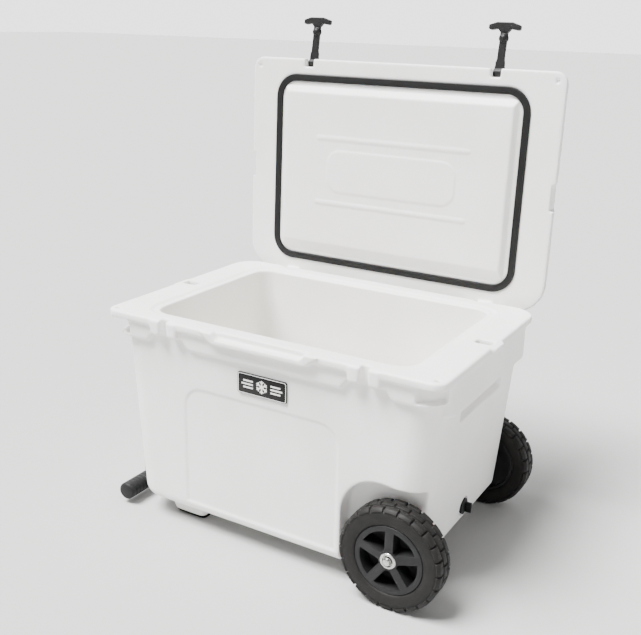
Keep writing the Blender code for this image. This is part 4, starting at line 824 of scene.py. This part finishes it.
for side, word in ((-1, "front"), (1, "rear")):
    tyre = piece("tyre_" + word, tyre_bmesh())
    tyre.data.transform(wheel_place(word, side))
    soft = tyre.modifiers.new("soft", 'BEVEL')
    soft.width, soft.segments, soft.limit_method, soft.angle_limit = 0.0006, 2, 'ANGLE', radians(30)
    settle(tyre)
    smooth_shade(tyre, 45)
    tyre.data.materials.append(tyre_rubber)
    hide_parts("wheel_tyre_" + word)
    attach(tyre, "wheel_" + word)
print("tyre", len(tyre.data.polygons), "faces")

# %% [markdown]
# The rim is glass-filled nylon: a flat face with five spokes and a hub, and a
# sleeve behind it that carries the tyre.  The section is spun, the windows between
# the spokes are cut out, and every edge is broken with a small bevel.  A domed
# steel cap is pushed on the end of the axle.

# %% Wheel rims
cap_out = 0.2426    # foot of the cap from the middle of the body


def rim_bmesh():
    outer, bore, half = wheel_r - tyre_depth, 0.0094, tyre_width / 2
    face, back = half - 0.0022, -half + 0.004
    return spin([(bore, back + 0.006), (0.020, back + 0.006), (0.022, back + 0.010),
                 (outer - 0.006, back + 0.010), (outer - 0.005, back), (outer, back),
                 (outer, face - 0.0012), (outer - 0.0012, face), (0.0200, face),
                 (0.0180, face + 0.0012), (bore, face + 0.0012)], (0, 0, 0), (0, 0, 1), 90)


def rim_windows():
    made = []
    inner, outer, spoke = 0.0185, wheel_r - tyre_depth - 0.0100, 0.0082
    floor_z = -tyre_width / 2 + 0.018
    for i in range(5):
        mid = 2 * pi * (i + 0.5) / 5 + pi / 2
        points = []
        for radius, order, steps in ((outer, 1, 10), (inner, -1, 2)):
            reach = pi / 5 - spoke / radius
            points += arc(0, 0, radius, mid - order * reach, mid + order * reach, steps)
        made.append(outline_block(points, floor_z, 0.04, 'Z'))
    return made


for side, word in ((-1, "front"), (1, "rear")):
    rim = piece("rim_" + word, rim_bmesh())
    combine(rim, rim_windows(), 'DIFFERENCE')
    rim.data.transform(wheel_place(word, side))
    soft = rim.modifiers.new("soft", 'BEVEL')
    soft.width, soft.segments, soft.limit_method, soft.angle_limit = 0.0007, 2, 'ANGLE', radians(40)
    settle(rim)
    smooth_shade(rim, 35)
    rim.data.materials.append(rim_nylon)
    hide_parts("wheel_rim_" + word)
    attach(rim, "wheel_" + word)

    bore = 0.00665
    cap = spin([(bore, 0), (0.0150, 0), (0.0156, 0.0008), (0.0154, 0.0030), (0.0140, 0.0044),
                (0.0112, 0.0048), (0.0100, 0.0040), (0.0094, 0.0016), (0.0084, 0.0014), (0.0078, 0.0030),
                (0.0074, 0.0064), (0.0060, 0.0094), (0.0040, 0.0104), (0, 0.0105), (0, 0.0092),
                (bore, 0.0010)],
               (middle.x + wheel_x, middle.y + side * cap_out, wheel_r), (0, side, 0), 64)
    nut = piece("push_cap_" + word, cap)
    smooth_shade(nut, 35)
    nut.data.materials.append(steel)
    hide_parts("axle_cap_" + word)
    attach(nut, "body")

# %% [markdown]
# The badge is a black plate with a raised white border and a plain six-armed
# frost star between two bars, printed in white.  It follows the wall's draft.

# %% Badge
badge_low, badge_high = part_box("badge_plate")
badge_mid = Vector([(a + b) / 2 for a, b in zip(badge_low, badge_high)])
badge_half_x = (badge_high[0] - badge_low[0]) / 2
badge_half_z = (badge_high[2] - badge_low[2]) / 2
slope = front_draft / (wall_high - body_bottom)
print_back, print_front = -0.00012, 0.0004


def badge_part(name, bms, finish):
    """Flat shapes drawn about the badge's middle, set on its leaning face."""
    obj = piece(name, bms[0])
    combine(obj, bms[1:], 'UNION')
    shear = Matrix.Identity(4)
    shear[1][2] = -slope
    face_y = badge_mid.y - (badge_high[1] - badge_low[1]) / 2 + 0.00015
    obj.data.transform(Matrix.Translation((badge_mid.x, face_y, badge_mid.z)) @ shear)
    obj.data.materials.append(finish)
    smooth_shade(obj, 35)
    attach(obj, "body")
    return obj


def plate_outline(half_x, half_z, radius, steps=6):
    points = arc(half_x - radius, half_z - radius, radius, 0, pi / 2, steps)
    points += arc(-half_x + radius, half_z - radius, radius, pi / 2, pi, steps)
    points += arc(-half_x + radius, -half_z + radius, radius, pi, 1.5 * pi, steps)
    points += arc(half_x - radius, -half_z + radius, radius, 1.5 * pi, 2 * pi, steps)
    return points


def bar_between(a, b, width):
    """Straight printed bar from a to b."""
    a, b = Vector(a), Vector(b)
    side = (b - a).normalized().orthogonal() * width / 2
    return outline_block([tuple(a + side), tuple(b + side), tuple(b - side), tuple(a - side)],
                         print_back, print_front, 'Y')


plate = badge_part("badge", [outline_block(plate_outline(badge_half_x, badge_half_z, 0.004),
                                           0.0, 0.0029, 'Y', 0.0003, 2)], badge_black)
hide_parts("badge_plate")
outside = plate_outline(badge_half_x - 0.0012, badge_half_z - 0.0012, 0.0038)
inside = plate_outline(badge_half_x - 0.0024, badge_half_z - 0.0024, 0.003)
border = piece("border", outline_block(outside, print_back, print_front, 'Y'))
combine(border, [outline_block(inside, -0.01, 0.01, 'Y')], 'DIFFERENCE')
badge_part("badge_border", [as_bmesh(border)], badge_white)
star = []
arm = 0.0125
for i in range(3):
    angle = pi / 2 + i * pi / 3
    tip = Vector((cos(angle), sin(angle))) * arm
    star.append(bar_between(-tip, tip, 0.0030))
    for way in (-1, 1):
        for sign in (-1, 1):
            root = tip * sign * 0.58
            out = Vector((cos(angle + way * 0.9), sin(angle + way * 0.9))) * sign * 0.0052
            star.append(bar_between(root, root + out, 0.0022))
for way in (-1, 1):
    for z, reach in ((0.0065, 0.040), (0.0, 0.044), (-0.0065, 0.040)):
        star.append(bar_between((way * 0.019, z), (way * reach, z), 0.0032))
badge_part("badge_star", star, badge_white)

# %% [markdown]
# The grip is a rubber sleeve on a cross tube with two rubber ends outside the
# cast arms.  Rings are moulded into it so that a wet hand doesn't slip.

# %% Grip
def ribbed(low, high, radius, inner, pitch, closed_end):
    """Half profile of a ribbed sleeve from low to high along its axis."""
    points = [(inner, low), (radius - 0.002, low), (radius, low + 0.002)]
    count = int((high - low - 0.010) / pitch)
    for i in range(count):
        z = low + 0.005 + i * pitch
        points += [(radius, z), (radius - 0.0009, z + pitch * 0.18), (radius - 0.0009, z + pitch * 0.42),
                   (radius, z + pitch * 0.60)]
    points += [(radius, high - 0.003), (radius - 0.0012, high - 0.0008), (radius - 0.003, high)]
    if closed_end:
        return points + [(0, high), (0, high - 0.0058), (inner, high - 0.0058)]
    return points + [(inner, high)]


grip_low, grip_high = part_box("grip_sleeve")
grip_centre = Vector([(a + b) / 2 for a, b in zip(grip_low, grip_high)])
grip_r = (grip_high[2] - grip_low[2]) / 2
core_r = (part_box("grip_core_tube")[1][2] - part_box("grip_core_tube")[0][2]) / 2 + 0.0003
half = (grip_high[1] - grip_low[1]) / 2
pitch = 0.010
grips = [("grip_rubber_middle", ribbed(-half, half, grip_r, core_r, pitch, False), grip_centre,
          (0, 1, 0), "grip_sleeve")]
for side, word in ((-1, "front"), (1, "rear")):
    low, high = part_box("grip_end_" + word)
    start = min(abs(low[1] - middle.y), abs(high[1] - middle.y))
    grips.append(("grip_rubber_" + word, ribbed(0.0, high[1] - low[1], grip_r, core_r, pitch, True),
                  Vector((grip_centre.x, middle.y + side * start, grip_centre.z)), (0, side, 0),
                  "grip_end_" + word))
for name, profile, centre, axis, stands_for in grips:
    grip = piece(name, spin(profile, centre, axis, 64))
    smooth_shade(grip, 50)
    grip.data.materials.append(grip_rubber)
    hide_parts(stands_for)
    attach(grip, "handle")

# %% [markdown]
# The rest of the frame's solids have the right shape already, so they stay and
# only get their finish.

# %% Finishes on the frame's own pieces
finish_of = {"white_shell": shell_white, "foam_core": foam, "badge": badge_black,
             "seal_rubber": seal_rubber, "latch_rubber": latch_rubber, "foot_rubber": foot_rubber,
             "grip_rubber": grip_rubber,
             "tyre_rubber": tyre_rubber, "wheel_nylon": rim_nylon, "bush_nylon": bush_nylon,
             "steel": steel, "aluminium": aluminium}
slots = {part["node"]: part["material_slot"] for part in frame["record"]["subparts"]}
for name, obj in frame["nodes"].items():
    if not obj.material_slots:
        obj.data.materials.append(None)
    for material_slot in obj.material_slots:
        material_slot.material = finish_of[slots[name]]
print("finished", len(frame["nodes"]), "frame pieces")

# %% [markdown]
# The setting is a pale floor under a wide overhead bank, which is a sun with a
# broad disc so that shadows stay soft.  A weak lamp at the right fills the wheel
# end, and the surround is bright only behind the cooler, as a lit backdrop is.
# The camera stands a little above the rim, to the right of the front.

# %% Floor, light and camera
floor = piece("floor", outline_block([(-40, -40), (40, -40), (40, 40), (-40, 40)], -0.02, 0.0, 'Z'))
floor_mat, tree, shader, where = material("pale_floor_paint", Roughness=0.9)
speckle = add(tree, "TexNoise", {"Vector": where}, Scale=size(60), Detail=3.0)
tint = ramp(tree, speckle.outputs["Fac"], linear("#B4B4B3"), linear("#B8B8B7"))
tree.links.new(tint, shader.inputs["Base Color"])
floor.data.materials.append(floor_mat)

world = bpy.data.worlds.new("studio")
bpy.context.scene.world = world
world.use_nodes = True
sky = world.node_tree
background = sky.nodes["Background"]
background.inputs["Strength"].default_value = 2.7
facing = add(sky, "VectorMath", {"Vector": add(sky, "TexCoord").outputs["Generated"]},
             operation='DOT_PRODUCT')
facing.inputs[1].default_value = (-0.50, 0.86, 0.0)
backdrop = ramp(sky, facing.outputs["Value"], grey(0.15), grey(1.0), 0.60, 0.82)
sky.links.new(backdrop, background.inputs["Color"])


def lamp(name, kind, energy, way, location=(0, 0, 0)):
    """Light that shines along a direction."""
    light = bpy.data.lights.new(name, kind)
    light.energy = energy
    obj = bpy.data.objects.new(name, light)
    obj.location = location
    obj.rotation_euler = Vector(way).to_track_quat('-Z', 'Y').to_euler()
    bpy.context.scene.collection.objects.link(obj)
    return light


lamp("right", 'AREA', 16, (-3.0, 0.6, -1.3), (3.0, -0.6, 1.6)).size = 1.6
lamp("ceiling_bank", 'SUN', 13.5, (0.32, 0.32, -0.90)).angle = radians(30)

camera_data = bpy.data.cameras.new("camera")
camera_data.lens, camera_data.sensor_width = 51.0, 36.0
camera = bpy.data.objects.new("camera", camera_data)
bpy.context.scene.collection.objects.link(camera)
camera.matrix_world = (Matrix.Translation(Vector((0.8455, -1.4787, 0.9744)) + middle)
                       @ Matrix.Rotation(0.5246, 4, 'Z') @ Matrix.Rotation(pi / 2 - 0.315, 4, 'X')
                       @ Matrix.Rotation(0.0276, 4, 'Z'))
bpy.context.scene.camera = camera
